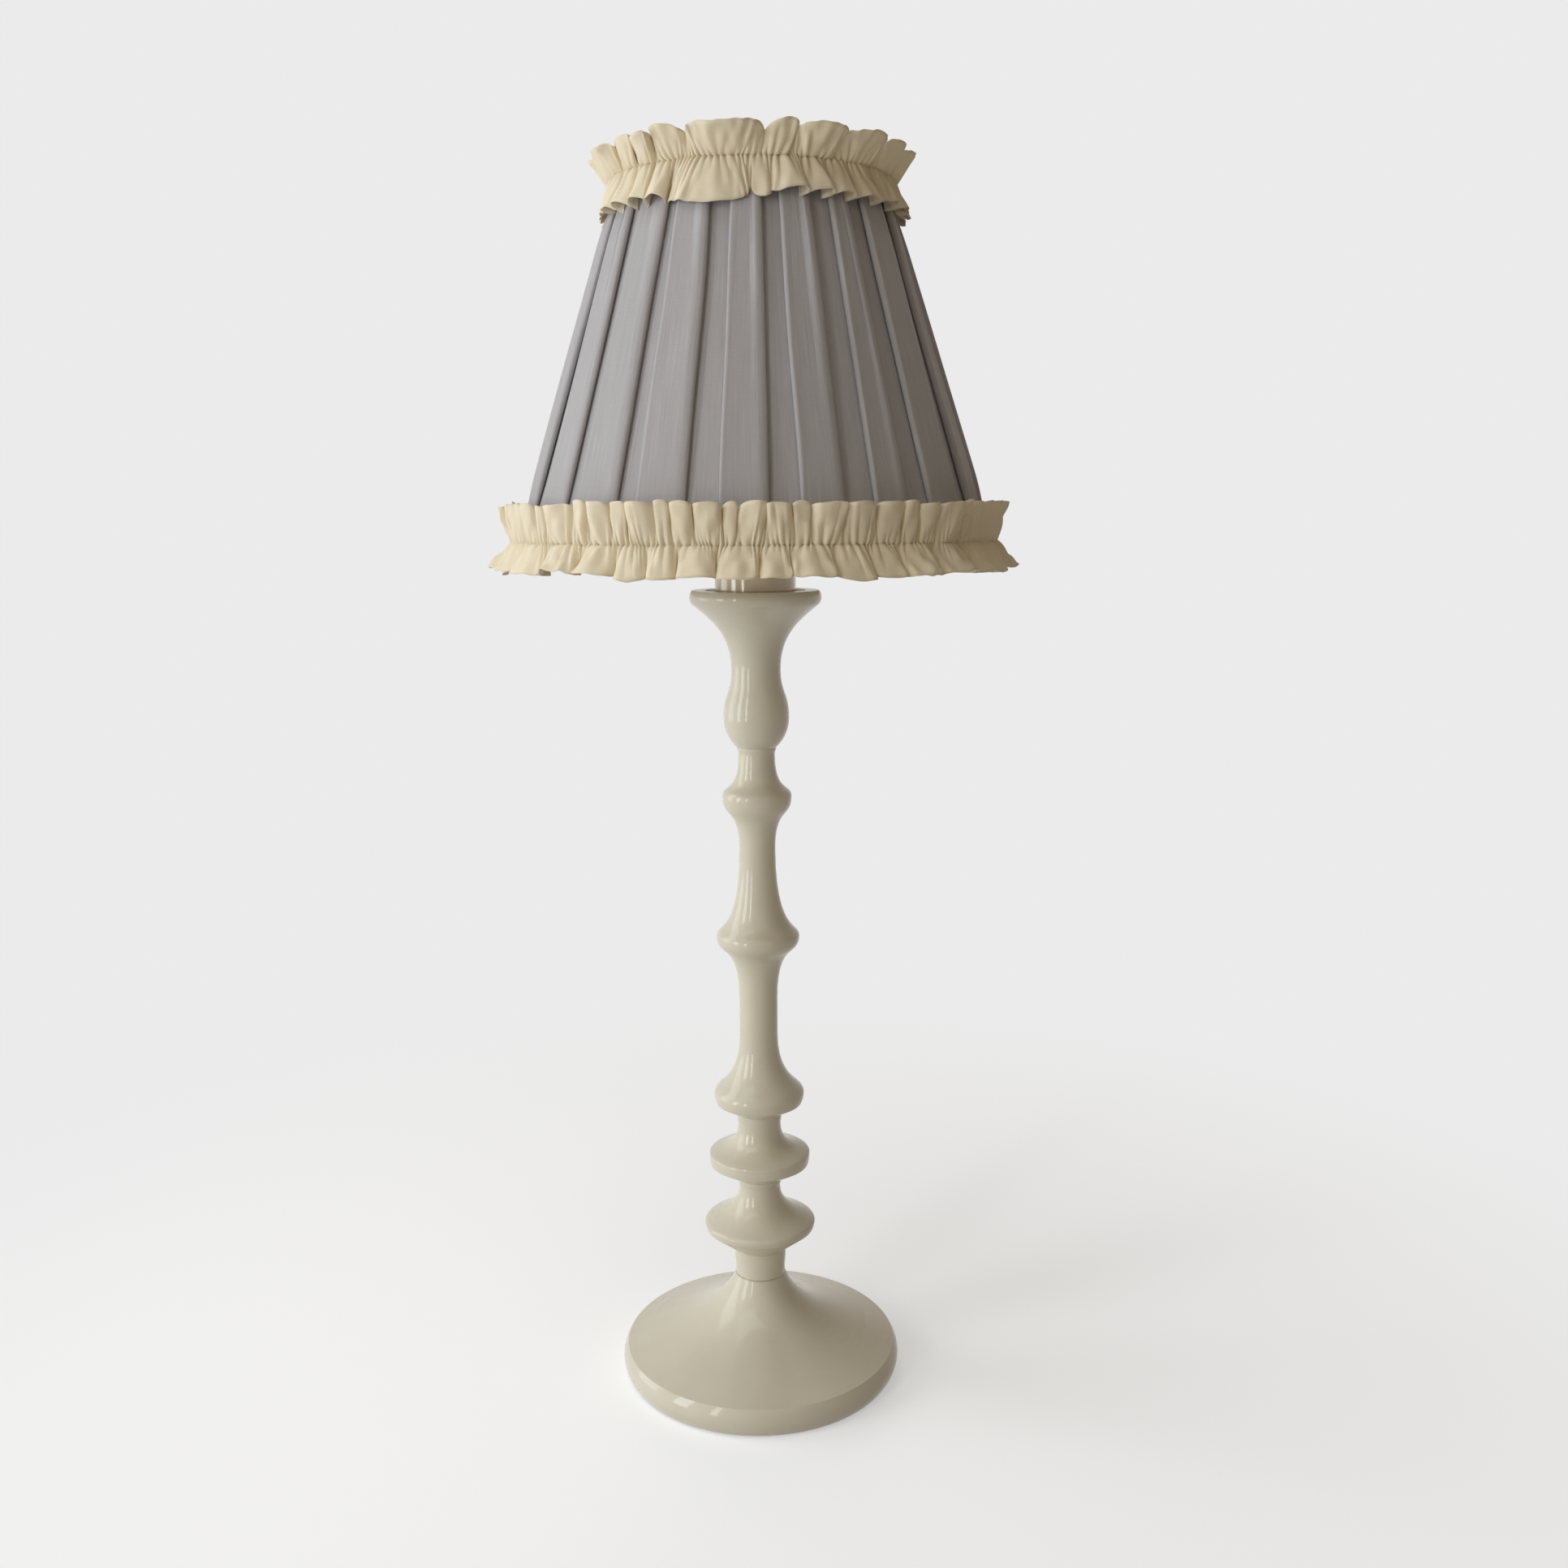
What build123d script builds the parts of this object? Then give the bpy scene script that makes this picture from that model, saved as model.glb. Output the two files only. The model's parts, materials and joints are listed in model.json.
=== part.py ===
from build123d import *
import os
from math import cos, pi, radians, sin, sqrt

# Candle lamp with a pleated shade, in millimetres. +Z is up and the origin is on the table,
# under the middle of the foot. A turned, lacquered candlestick carries a tube that feeds its
# candle upwards with a spring. The tube's cap holds a shade carrier, and the shade lifts off.

# Clearances
RUNNING_FIT = 0.1  # between pieces that slide or turn in one another
CLOTH_GAP = 0.3  # between cloth and the wire or cloth behind it

# Foot: a rimmed disc that sweeps up to the stem
FOOT_R = 49.6
FOOT_RIM_H = 10.3
FOOT_RIM_BULGE = 1.8
FOOT_H = 36.5
FELT_T = 1.6
FELT_SHOW = 0.5  # how far the felt stands below the wood
FELT_MARGIN = 4.0  # wood left showing around the felt
WEIGHT_R = 34.0
WEIGHT_H = 6.0
WEIGHT_HOLE_R = 8.0
SCREW_R = 2.0
SCREW_HEAD_R = 3.8
SCREW_HEAD_H = 2.4
SCREW_HEAD_ROUND = 0.8
SCREW_GRIP = 16.0  # length of screw inside the stem's tenon
WASHER_R = 6.0
WASHER_T = 1.0
TENON_R = 5.6
TENON_H = 22.0

# Stem, from the foot upwards. Every disc and bead has a rim that bulges out of its flanks.
JOINT_R = 9.2
NECK_H = 9.7
LOWER_DISC_CREASE_R = 9.4
LOWER_DISC_UNDER_H = 8.1
LOWER_DISC_R = 19.2
LOWER_DISC_BULGE = 1.2
LOWER_DISC_EDGE_H = 3.4
LOWER_DISC_TOP_H = 12.3
LOWER_WAIST_R = 7.6
LOWER_WAIST_H = 3.6
UPPER_DISC_CREASE_R = 7.8
UPPER_DISC_UNDER_H = 5.9
UPPER_DISC_R = 17.9
UPPER_DISC_BULGE = 0.6
UPPER_DISC_EDGE_H = 4.4
UPPER_DISC_TOP_H = 9.8
UPPER_WAIST_R = 7.8
UPPER_WAIST_H = 4.7
LOWER_BEAD_CREASE_R = 7.9
LOWER_BEAD_UNDER_H = 4.4
LOWER_BEAD_R = 15.1
LOWER_BEAD_BULGE = 1.4
LOWER_BEAD_EDGE_H = 5.9
LOWER_BEAD_TOP_H = 18.4
LOWER_SHAFT_R = 6.9
LOWER_SHAFT_H = 15.2
UPPER_BEAD_SWELL_H = 15.4
UPPER_BEAD_CREASE_R = 9.6
UPPER_BEAD_UNDER_H = 3.1
UPPER_BEAD_R = 11.8
UPPER_BEAD_BULGE = 3.1
UPPER_BEAD_EDGE_H = 8.3
UPPER_BEAD_TOP_H = 28.4
UPPER_SHAFT_R = 6.3
RING_SWELL_H = 14.0
RING_R = 10.4
RING_BULGE = 2.0
RING_EDGE_H = 8.0
RING_TOP_H = 10.0
VASE_NECK_R = 6.4
VASE_NECK_H = 4.3
VASE_CREASE_R = 6.6
VASE_UNDER_H = 11.1
VASE_R = 11.5
VASE_TOP_H = 17.0
THROAT_R = 8.6
PAN_SWELL_H = 22.3
PAN_R = 22.0
PAN_BULGE = 0.9
PAN_LIP_H = 4.8

# Candle cup: a metal liner in the stem's socket, with a plate under the tube
SPIGOT_R = 8.0
SPIGOT_H = 11.0
SPIGOT_LEAD_IN = 0.8
CUP_WALL = 0.8
CUP_PLATE_R = 17.5
CUP_DEPTH_SPARE = 1.0  # room left below the spigot

# Candle tube and what it holds
TUBE_R = 14.0
TUBE_WALL = 1.2
TUBE_H = 62.0
PLUG_H = 6.0
SPRING_H = 19.0  # length at rest, with a part-burned candle
SPRING_R = 9.6
SPRING_WIRE_R = 0.55
SPRING_TURNS = 5
FOLLOWER_FLOOR = 1.2
FOLLOWER_WALL_H = 5.0
CANDLE_R = 11.0
CANDLE_TIP_R = 7.6
CANDLE_TIP_H = 4.0
WICK_R = 0.7
WICK_SHOW = 7.0

# Nozzle cap with a two-pin bayonet
CAP_WALL = 1.0
CAP_SKIRT_H = 13.0
CAP_PLATE_T = 1.2
CAP_BEAD_OUT = 1.6
CAP_BEAD_H = 2.0
NOZZLE_R = 8.6
NOZZLE_WALL = 1.0
NOZZLE_H = 2.2
PIN_R = 1.2
PIN_DROP = 6.0  # pin centre below the tube's top
PIN_ROOT = 0.6  # depth of the pin's foot in the tube's wall
PIN_SET_BACK = 0.15  # pin end inside the cap's outer face
PIN_PLAY = 0.15
BAYONET_TURN = 24.0
BAYONET_PINS = 2

# Shade carrier
COLLAR_WALL = 2.4
COLLAR_H = 6.0
CARRIER_H = 63.6  # collar's lower face to the gallery's seat
CARRIER_ARMS = 3
CARRIER_ARM_TURN = 30.0  # first arm's place
CARRIER_ARM_R = 1.1
CARRIER_ARM_SET_IN = 1.8  # arm's end inside the collar's wall
CARRIER_ELBOW_OUT = 4.5
CARRIER_SHOULDER_H = 26.0
CARRIER_BEND_R = 9.0
GALLERY_R = 30.0
GALLERY_HALF_W = 4.0
GALLERY_T = 1.2
GALLERY_LIP_T = 1.0
GALLERY_LIP_H = 2.0

# Shade frame of wire
FITTER_PLAY = 0.4  # fitter ring inside the gallery's lip
FITTER_T = 1.2
FITTER_DROP = 16.8  # top ring's centre above the gallery's seat
FITTER_ARMS = 3
FITTER_ARM_TURN = 90.0  # first arm's place
FITTER_ARM_R = 1.0
FITTER_BEND_R = 5.0
SHADE_H = 114.3
TOP_RING_R = 41.3
BOTTOM_RING_R = 76.2
RING_WIRE_R = 1.3
STRUTS = 8
STRUT_R = 1.0
STRUT_TURN = 22.5  # first strut's place, away from the fitter's arms

# Shade cloth
LINING_T = 0.5
COVER_T = 0.6
PLEATS = 20
PLEAT_RISE = 1.2
PLEAT_SHARE = 0.6  # share of each pitch that is raised
PLEAT_PHASE = -7.7  # first raised edge, in degrees from the front
COVER_OVERHANG = 1.4  # past each ring's centre

# Gathered frills: a strip sewn along its middle and left free at both edges
FRILL_T = 0.8
GATHER_WAVE = 1.0
FOLD_FACETS = 6
FOLD_UNEVEN = 0.22
FOLD_SWELLS = 4  # slow changes of fold depth around the strip
HEM_FOLDS = 44
HEM_GATHER_UP = 0.8  # gather line above the bottom ring
HEM_RISE = 10.8
HEM_DROP = 9.6
HEM_RISE_OUT = 0.2
HEM_DROP_OUT = 4.6
HEM_WAVE = 2.7
CROWN_FOLDS = 30
CROWN_GATHER_UP = -0.3  # gather line against the top ring
CROWN_RISE = 8.6
CROWN_DROP = 7.8
CROWN_RISE_OUT = 3.6
CROWN_DROP_OUT = 4.2
CROWN_WAVE = 1.6

# Heights that follow from the sizes above
wood_z = FELT_SHOW
weight_z = FELT_T
weight_top_z = weight_z + WEIGHT_H
joint_z = FOOT_H
tenon_z = joint_z - TENON_H
stem_heights = [
    NECK_H, LOWER_DISC_UNDER_H, LOWER_DISC_EDGE_H, LOWER_DISC_TOP_H, LOWER_WAIST_H,
    UPPER_DISC_UNDER_H, UPPER_DISC_EDGE_H, UPPER_DISC_TOP_H, UPPER_WAIST_H,
    LOWER_BEAD_UNDER_H, LOWER_BEAD_EDGE_H, LOWER_BEAD_TOP_H, LOWER_SHAFT_H,
    UPPER_BEAD_SWELL_H, UPPER_BEAD_UNDER_H, UPPER_BEAD_EDGE_H, UPPER_BEAD_TOP_H,
    RING_SWELL_H, RING_EDGE_H, RING_TOP_H, VASE_NECK_H, VASE_UNDER_H, VASE_TOP_H,
    PAN_SWELL_H, PAN_LIP_H,
]
pan_z = joint_z + sum(stem_heights)
cup_bore_r = SPIGOT_R + RUNNING_FIT
cup_r = cup_bore_r + CUP_WALL
cup_floor_z = pan_z - SPIGOT_H - CUP_DEPTH_SPARE
tube_bore_r = TUBE_R - TUBE_WALL
tube_top_z = pan_z + TUBE_H
plug_top_z = pan_z + PLUG_H
follower_z = plug_top_z + SPRING_H
candle_z = follower_z + FOLLOWER_FLOOR
cap_bore_r = TUBE_R + RUNNING_FIT
cap_r = cap_bore_r + CAP_WALL
cap_z = tube_top_z - CAP_SKIRT_H
pin_z = tube_top_z - PIN_DROP
collar_z = cap_z + CAP_BEAD_H
collar_bore_r = cap_r + RUNNING_FIT
collar_r = collar_bore_r + COLLAR_WALL
seat_z = collar_z + CARRIER_H
gallery_out_r = GALLERY_R + GALLERY_HALF_W
gallery_in_r = GALLERY_R - GALLERY_HALF_W
fitter_out_r = gallery_out_r - GALLERY_LIP_T - FITTER_PLAY
fitter_top_z = seat_z + FITTER_T
top_ring_z = seat_z + FITTER_DROP
bottom_ring_z = top_ring_z - SHADE_H
shade_slope = (BOTTOM_RING_R - TOP_RING_R) / SHADE_H
cloth_out = RING_WIRE_R + CLOTH_GAP


class Outline:
    """A pen that draws half of a turned piece's section, in the plane of X and Z."""

    # Control points of a concave sweep, as shares of its own run and rise
    REACH = 0.45
    LEAN = 0.22
    HOLD = 0.55

    def __init__(self, r, z):
        self.start = (r, z)
        self.r = r
        self.z = z
        self.edges = []

    def _add(self, edge, r, z):
        self.edges.append(edge)
        self.r = r
        self.z = z

    def line(self, r, z):
        self._add(Line((self.r, 0, self.z), (r, 0, z)), r, z)

    def bulge(self, out, rise):
        """A rounded rim that returns to the radius it started from."""
        middle = (self.r + out, 0, self.z + rise / 2)
        top = self.z + rise
        self._add(ThreePointArc((self.r, 0, self.z), middle, (self.r, 0, top)), self.r, top)

    def sweep_in(self, r, rise):
        """A concave sweep from an edge up to an upright neck."""
        run = self.r - r
        top = self.z + rise
        near = (self.r - self.REACH * run, 0, self.z + self.LEAN * rise)
        far = (r, 0, top - self.HOLD * rise)
        self._add(Bezier((self.r, 0, self.z), near, far, (r, 0, top)), r, top)

    def sweep_out(self, r, rise):
        """A concave sweep from an upright neck out to an edge."""
        run = r - self.r
        top = self.z + rise
        near = (self.r, 0, self.z + self.HOLD * rise)
        far = (r - self.REACH * run, 0, top - self.LEAN * rise)
        self._add(Bezier((self.r, 0, self.z), near, far, (r, 0, top)), r, top)

    def swell(self, r, rise):
        """A convex belly from a crease to its widest place, where it stands upright."""
        run = r - self.r
        top = self.z + rise
        near = (self.r + self.HOLD * run, 0, self.z + self.LEAN * rise)
        far = (r, 0, top - self.REACH * rise)
        self._add(Bezier((self.r, 0, self.z), near, far, (r, 0, top)), r, top)

    def ease(self, r, rise):
        """An S-curve that is upright at both ends."""
        top = self.z + rise
        middle = rise / 2
        near = (self.r, 0, self.z + middle)
        far = (r, 0, top - middle)
        self._add(Bezier((self.r, 0, self.z), near, far, (r, 0, top)), r, top)

    def turned(self):
        """Close the outline along the axis and turn it."""
        self.line(0, self.z)
        self.line(*self.start)
        return revolve(Face(Wire(self.edges)), Axis.Z)


def drum(r, z, height):
    return Pos(0, 0, z) * Cylinder(r, height, align=(Align.CENTER, Align.CENTER, Align.MIN))


def tube(r, bore_r, z, height):
    return drum(r, z, height) - drum(bore_r, z, height)


def around(count, first=0.0):
    """Angles of evenly spaced copies."""
    return [first + 360.0 * k / count for k in range(count)]


def bent_wire(points, bend_r, wire_r):
    """Round wire along straight runs and tangent bends."""
    path = FilletPolyline(*points, radius=bend_r)
    section = Plane(origin=path @ 0, z_dir=path % 0) * Circle(wire_r)
    return sweep(section, path=path)


# Candlestick

def make_foot():
    foot = Outline(0, wood_z)
    foot.line(FOOT_R, wood_z)
    foot.bulge(FOOT_RIM_BULGE, FOOT_RIM_H - wood_z)
    foot.sweep_in(JOINT_R, FOOT_H - FOOT_RIM_H)
    felt_pocket = drum(FOOT_R - FELT_MARGIN, wood_z, FELT_T - wood_z)
    weight_pocket = drum(WEIGHT_R, weight_z, WEIGHT_H)
    screw_hole = drum(SCREW_R, weight_top_z, tenon_z - weight_top_z)
    mortise = drum(TENON_R, tenon_z, TENON_H)
    return foot.turned() - felt_pocket - weight_pocket - screw_hole - mortise


def make_stem():
    stem = Outline(0, tenon_z)
    stem.line(TENON_R, tenon_z)
    stem.line(TENON_R, joint_z)
    stem.line(JOINT_R, joint_z)
    stem.ease(LOWER_DISC_CREASE_R, NECK_H)
    stem.line(LOWER_DISC_R, stem.z + LOWER_DISC_UNDER_H)
    stem.bulge(LOWER_DISC_BULGE, LOWER_DISC_EDGE_H)
    stem.sweep_in(LOWER_WAIST_R, LOWER_DISC_TOP_H)
    stem.ease(UPPER_DISC_CREASE_R, LOWER_WAIST_H)
    stem.line(UPPER_DISC_R, stem.z + UPPER_DISC_UNDER_H)
    stem.bulge(UPPER_DISC_BULGE, UPPER_DISC_EDGE_H)
    stem.sweep_in(UPPER_WAIST_R, UPPER_DISC_TOP_H)
    stem.ease(LOWER_BEAD_CREASE_R, UPPER_WAIST_H)
    stem.line(LOWER_BEAD_R, stem.z + LOWER_BEAD_UNDER_H)
    stem.bulge(LOWER_BEAD_BULGE, LOWER_BEAD_EDGE_H)
    stem.sweep_in(LOWER_SHAFT_R, LOWER_BEAD_TOP_H)
    stem.line(LOWER_SHAFT_R, stem.z + LOWER_SHAFT_H)
    stem.sweep_out(UPPER_BEAD_CREASE_R, UPPER_BEAD_SWELL_H)
    stem.line(UPPER_BEAD_R, stem.z + UPPER_BEAD_UNDER_H)
    stem.bulge(UPPER_BEAD_BULGE, UPPER_BEAD_EDGE_H)
    stem.sweep_in(UPPER_SHAFT_R, UPPER_BEAD_TOP_H)
    stem.sweep_out(RING_R, RING_SWELL_H)
    stem.bulge(RING_BULGE, RING_EDGE_H)
    stem.sweep_in(VASE_NECK_R, RING_TOP_H)
    stem.ease(VASE_CREASE_R, VASE_NECK_H)
    stem.swell(VASE_R, VASE_UNDER_H)
    stem.ease(THROAT_R, VASE_TOP_H)
    stem.sweep_out(PAN_R, PAN_SWELL_H)
    stem.bulge(PAN_BULGE, PAN_LIP_H)
    screw_hole = drum(SCREW_R, tenon_z, SCREW_GRIP)
    socket = drum(cup_r, cup_floor_z - CUP_WALL, pan_z - cup_floor_z + CUP_WALL)
    plate_pocket = drum(CUP_PLATE_R, pan_z - CUP_WALL, CUP_WALL)
    return stem.turned() - screw_hole - socket - plate_pocket


def make_candle_cup():
    shell = drum(cup_r, cup_floor_z - CUP_WALL, pan_z - cup_floor_z + CUP_WALL)
    plate = drum(CUP_PLATE_R, pan_z - CUP_WALL, CUP_WALL)
    return shell + plate - drum(cup_bore_r, cup_floor_z, pan_z - cup_floor_z)


def make_foot_screw():
    head_z = weight_top_z - WASHER_T - SCREW_HEAD_H
    shank = drum(SCREW_R, head_z, tenon_z + SCREW_GRIP - head_z)
    head = drum(SCREW_HEAD_R, head_z, SCREW_HEAD_H)
    rim = head.edges().group_by(Axis.Z)[0]
    return shank + fillet(rim, SCREW_HEAD_ROUND)


# Candle tube

def make_candle_tube(pins):
    return tube(TUBE_R, tube_bore_r, pan_z, TUBE_H) - pins


def make_tube_plug():
    spigot = drum(SPIGOT_R, pan_z - SPIGOT_H, SPIGOT_H)
    lead_in = spigot.edges().group_by(Axis.Z)[0]
    return drum(tube_bore_r, pan_z, PLUG_H) + chamfer(lead_in, SPIGOT_LEAD_IN)


def radial_pin(r, start, end, angle):
    """A pin that points away from the axis at the bayonet's height."""
    plane = Plane(origin=(start, 0, pin_z), z_dir=(1, 0, 0))
    return Rot(0, 0, angle) * Solid.make_cylinder(r, end - start, plane)


def make_bayonet_pins():
    return [radial_pin(PIN_R, TUBE_R - PIN_ROOT, cap_r - PIN_SET_BACK, angle)
            for angle in around(BAYONET_PINS)]


def biarc(start, leaving, end, arriving):
    """Two tangent arcs from one point and direction to another."""
    chord = end - start
    both = leaving + arriving
    a = 2 * (1 - leaving.dot(arriving))
    b = 2 * chord.dot(both)
    reach = (-b + sqrt(b * b + 4 * a * chord.dot(chord))) / (2 * a)
    middle = (start + end + (leaving - arriving) * reach) * 0.5
    first = TangentArc(start, middle, tangent=leaving)
    return [first, TangentArc(middle, end, tangent=first % 1)]


def make_feed_spring():
    """A coil of round wire, one unbroken tube, just clear of the plug and the follower."""
    low_z = plug_top_z + SPRING_WIRE_R + RUNNING_FIT
    climb = SPRING_H - 2 * (SPRING_WIRE_R + RUNNING_FIT)
    halves = 2 * SPRING_TURNS
    slope = climb / (2 * pi * SPRING_R * SPRING_TURNS)
    ends = []
    for half in range(halves + 1):
        side = -1 if half % 2 else 1
        place = Vector(side * SPRING_R, 0, low_z + climb * half / halves)
        ends.append((place, Vector(0, side, slope).normalized()))
    arcs = []
    for (start, leaving), (end, arriving) in zip(ends, ends[1:]):
        arcs += biarc(start, leaving, end, arriving)
    path = Wire(arcs)
    print("feed spring: least gap between turns", round(climb / SPRING_TURNS - 2 * SPRING_WIRE_R, 2))
    section = Plane(origin=ends[0][0], z_dir=ends[0][1]) * Circle(SPRING_WIRE_R)
    return sweep(section, path=path)


def make_follower():
    r = tube_bore_r - RUNNING_FIT
    cup = drum(r, follower_z, FOLLOWER_FLOOR + FOLLOWER_WALL_H)
    return cup - drum(CANDLE_R, candle_z, FOLLOWER_WALL_H)


def make_candle():
    body = drum(CANDLE_R, candle_z, tube_top_z - candle_z)
    tip = Pos(0, 0, tube_top_z) * Cone(
        CANDLE_TIP_R, WICK_R * 2, CANDLE_TIP_H, align=(Align.CENTER, Align.CENTER, Align.MIN))
    return body + tip - drum(WICK_R, candle_z, tube_top_z + CANDLE_TIP_H - candle_z)


def make_wick():
    return drum(WICK_R, candle_z, tube_top_z + CANDLE_TIP_H + WICK_SHOW - candle_z)


def make_nozzle_cap():
    skirt = drum(cap_r, cap_z, CAP_SKIRT_H + CAP_PLATE_T)
    bead = drum(cap_r + CAP_BEAD_OUT, cap_z, CAP_BEAD_H)
    nozzle = drum(NOZZLE_R + NOZZLE_WALL, tube_top_z + CAP_PLATE_T, NOZZLE_H)
    bore = drum(cap_bore_r, cap_z, CAP_SKIRT_H)
    mouth = drum(NOZZLE_R, tube_top_z, CAP_PLATE_T + NOZZLE_H)
    cap = skirt + bead + nozzle - bore - mouth
    slot_r = PIN_R + PIN_PLAY
    slot_in = (TUBE_R + tube_bore_r) / 2
    slot_out = cap_r + 2 * CAP_BEAD_OUT
    leg = Pos((slot_in + slot_out) / 2, 0, pin_z) * Rot(90, 0, 0) * Rectangle(
        slot_out - slot_in, 2 * slot_r)
    sweep_leg = Rot(0, 0, -BAYONET_TURN) * revolve(leg, Axis.Z, BAYONET_TURN)
    entry = Pos((slot_in + slot_out) / 2, 0, (cap_z + pin_z) / 2) * Box(
        slot_out - slot_in, 2 * slot_r, pin_z - cap_z)
    for angle in around(BAYONET_PINS):
        cap -= radial_pin(slot_r, slot_in, slot_out, angle)
        cap -= radial_pin(slot_r, slot_in, slot_out, angle - BAYONET_TURN)
        cap -= Rot(0, 0, angle) * sweep_leg
        cap -= Rot(0, 0, angle - BAYONET_TURN) * entry
    return cap


# Shade carrier

def make_carrier_arms():
    arm_z = collar_z + COLLAR_H / 2
    points = [
        (collar_r - CARRIER_ARM_SET_IN, 0, arm_z),
        (collar_r + CARRIER_ELBOW_OUT, 0, arm_z),
        (GALLERY_R, 0, arm_z + CARRIER_SHOULDER_H),
        (GALLERY_R, 0, seat_z - GALLERY_T),
    ]
    arm = bent_wire(points, [CARRIER_ELBOW_OUT, CARRIER_BEND_R], CARRIER_ARM_R)
    return [Rot(0, 0, angle) * arm for angle in around(CARRIER_ARMS, CARRIER_ARM_TURN)]


def make_carrier_collar(arms):
    return tube(collar_r, collar_bore_r, collar_z, COLLAR_H) - arms


def make_gallery():
    plate = tube(gallery_out_r, gallery_in_r, seat_z - GALLERY_T, GALLERY_T)
    return plate + tube(gallery_out_r, gallery_out_r - GALLERY_LIP_T, seat_z, GALLERY_LIP_H)


# Shade frame

def make_shade_ring(r, z):
    return Pos(0, 0, z) * Torus(r, RING_WIRE_R)


def make_struts(rings):
    low = Vector(BOTTOM_RING_R, 0, bottom_ring_z)
    high = Vector(TOP_RING_R, 0, top_ring_z)
    run = high - low
    wire = Solid.make_cylinder(STRUT_R, run.length, Plane(origin=low, z_dir=run))
    strut = wire - rings
    return [Rot(0, 0, angle) * strut for angle in around(STRUTS, STRUT_TURN)]


def make_fitter_arms(top_ring):
    points = [
        (GALLERY_R, 0, fitter_top_z),
        (GALLERY_R, 0, top_ring_z),
        (TOP_RING_R, 0, top_ring_z),
    ]
    arm = bent_wire(points, FITTER_BEND_R, FITTER_ARM_R) - top_ring
    return [Rot(0, 0, angle) * arm for angle in around(FITTER_ARMS, FITTER_ARM_TURN)]


# Shade cloth

def frame_r(z):
    """Radius of the wire frame's cone at a height."""
    return BOTTOM_RING_R - shade_slope * (z - bottom_ring_z)


def cone(out, low_z, high_z):
    """The frame's cone, moved outwards, between two heights."""
    body = Cone(frame_r(low_z) + out, frame_r(high_z) + out, high_z - low_z,
                align=(Align.CENTER, Align.CENTER, Align.MIN))
    return Pos(0, 0, low_z) * body


def make_lining():
    low_z = bottom_ring_z + cloth_out
    high_z = top_ring_z - cloth_out
    return cone(-cloth_out, low_z, high_z) - cone(-cloth_out - LINING_T, low_z, high_z)


def polar(r, angle, z):
    return Vector(r * cos(radians(angle)), r * sin(radians(angle)), z)


def pleat_wire(z):
    """The cover's outside at a height: raised arcs, steps and set-back arcs."""
    low_r = frame_r(z) + cloth_out + COVER_T
    high_r = low_r + PLEAT_RISE
    pitch = 360.0 / PLEATS
    edges = []
    for start in around(PLEATS, PLEAT_PHASE - 90):
        turn = start + PLEAT_SHARE * pitch
        end = start + pitch
        for r, a, b in ((high_r, start, turn), (low_r, turn, end)):
            middle = polar(r, (a + b) / 2, z)
            edges.append(ThreePointArc(polar(r, a, z), middle, polar(r, b, z)))
            other = low_r if r == high_r else high_r
            edges.append(Line(polar(r, b, z), polar(other, b, z)))
    return Wire(edges)


def make_pleated_cover():
    low_z = bottom_ring_z - COVER_OVERHANG
    high_z = top_ring_z + COVER_OVERHANG
    outside = Solid.make_loft([pleat_wire(low_z), pleat_wire(high_z)], ruled=True)
    return outside - cone(cloth_out, low_z, high_z)


def frill_wire(r, wave, folds, z):
    """A closed zigzag of soft folds around the shade."""
    points = []
    for step in range(folds * FOLD_FACETS):
        turn = 2 * pi * step / (folds * FOLD_FACETS)
        depth = wave * (1 + FOLD_UNEVEN * cos(FOLD_SWELLS * turn))
        points.append(polar(r + depth * sin(folds * turn), turn * 180 / pi, z))
    return Wire(Polyline(*points, close=True).edges())


def make_frill(gather_z, rise, drop, rise_out, drop_out, wave, folds):
    """A strip gathered along its sewn line, with folds that open towards both free edges."""
    behind = frame_r(gather_z) + cloth_out + COVER_T + PLEAT_RISE
    gather_r = behind + CLOTH_GAP + GATHER_WAVE * (1 + FOLD_UNEVEN) + FRILL_T
    levels = [
        (gather_z - drop, gather_r + drop_out, wave),
        (gather_z, gather_r, GATHER_WAVE),
        (gather_z + rise, gather_r + rise_out, wave),
    ]
    skins = []
    for back in (0.0, FRILL_T):
        wires = [frill_wire(r - back, depth, folds, z) for z, r, depth in levels]
        skins.append(Solid.make_loft(wires, ruled=True))
    return skins[0] - skins[1]


def make_hem_frill():
    return make_frill(bottom_ring_z + HEM_GATHER_UP, HEM_RISE, HEM_DROP,
                      HEM_RISE_OUT, HEM_DROP_OUT, HEM_WAVE, HEM_FOLDS)


def make_crown_frill():
    return make_frill(top_ring_z + CROWN_GATHER_UP, CROWN_RISE, CROWN_DROP,
                      CROWN_RISE_OUT, CROWN_DROP_OUT, CROWN_WAVE, CROWN_FOLDS)


def numbered(name, copies):
    return {f"{name}_{k}": copy for k, copy in enumerate(copies, start=1)}


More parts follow.
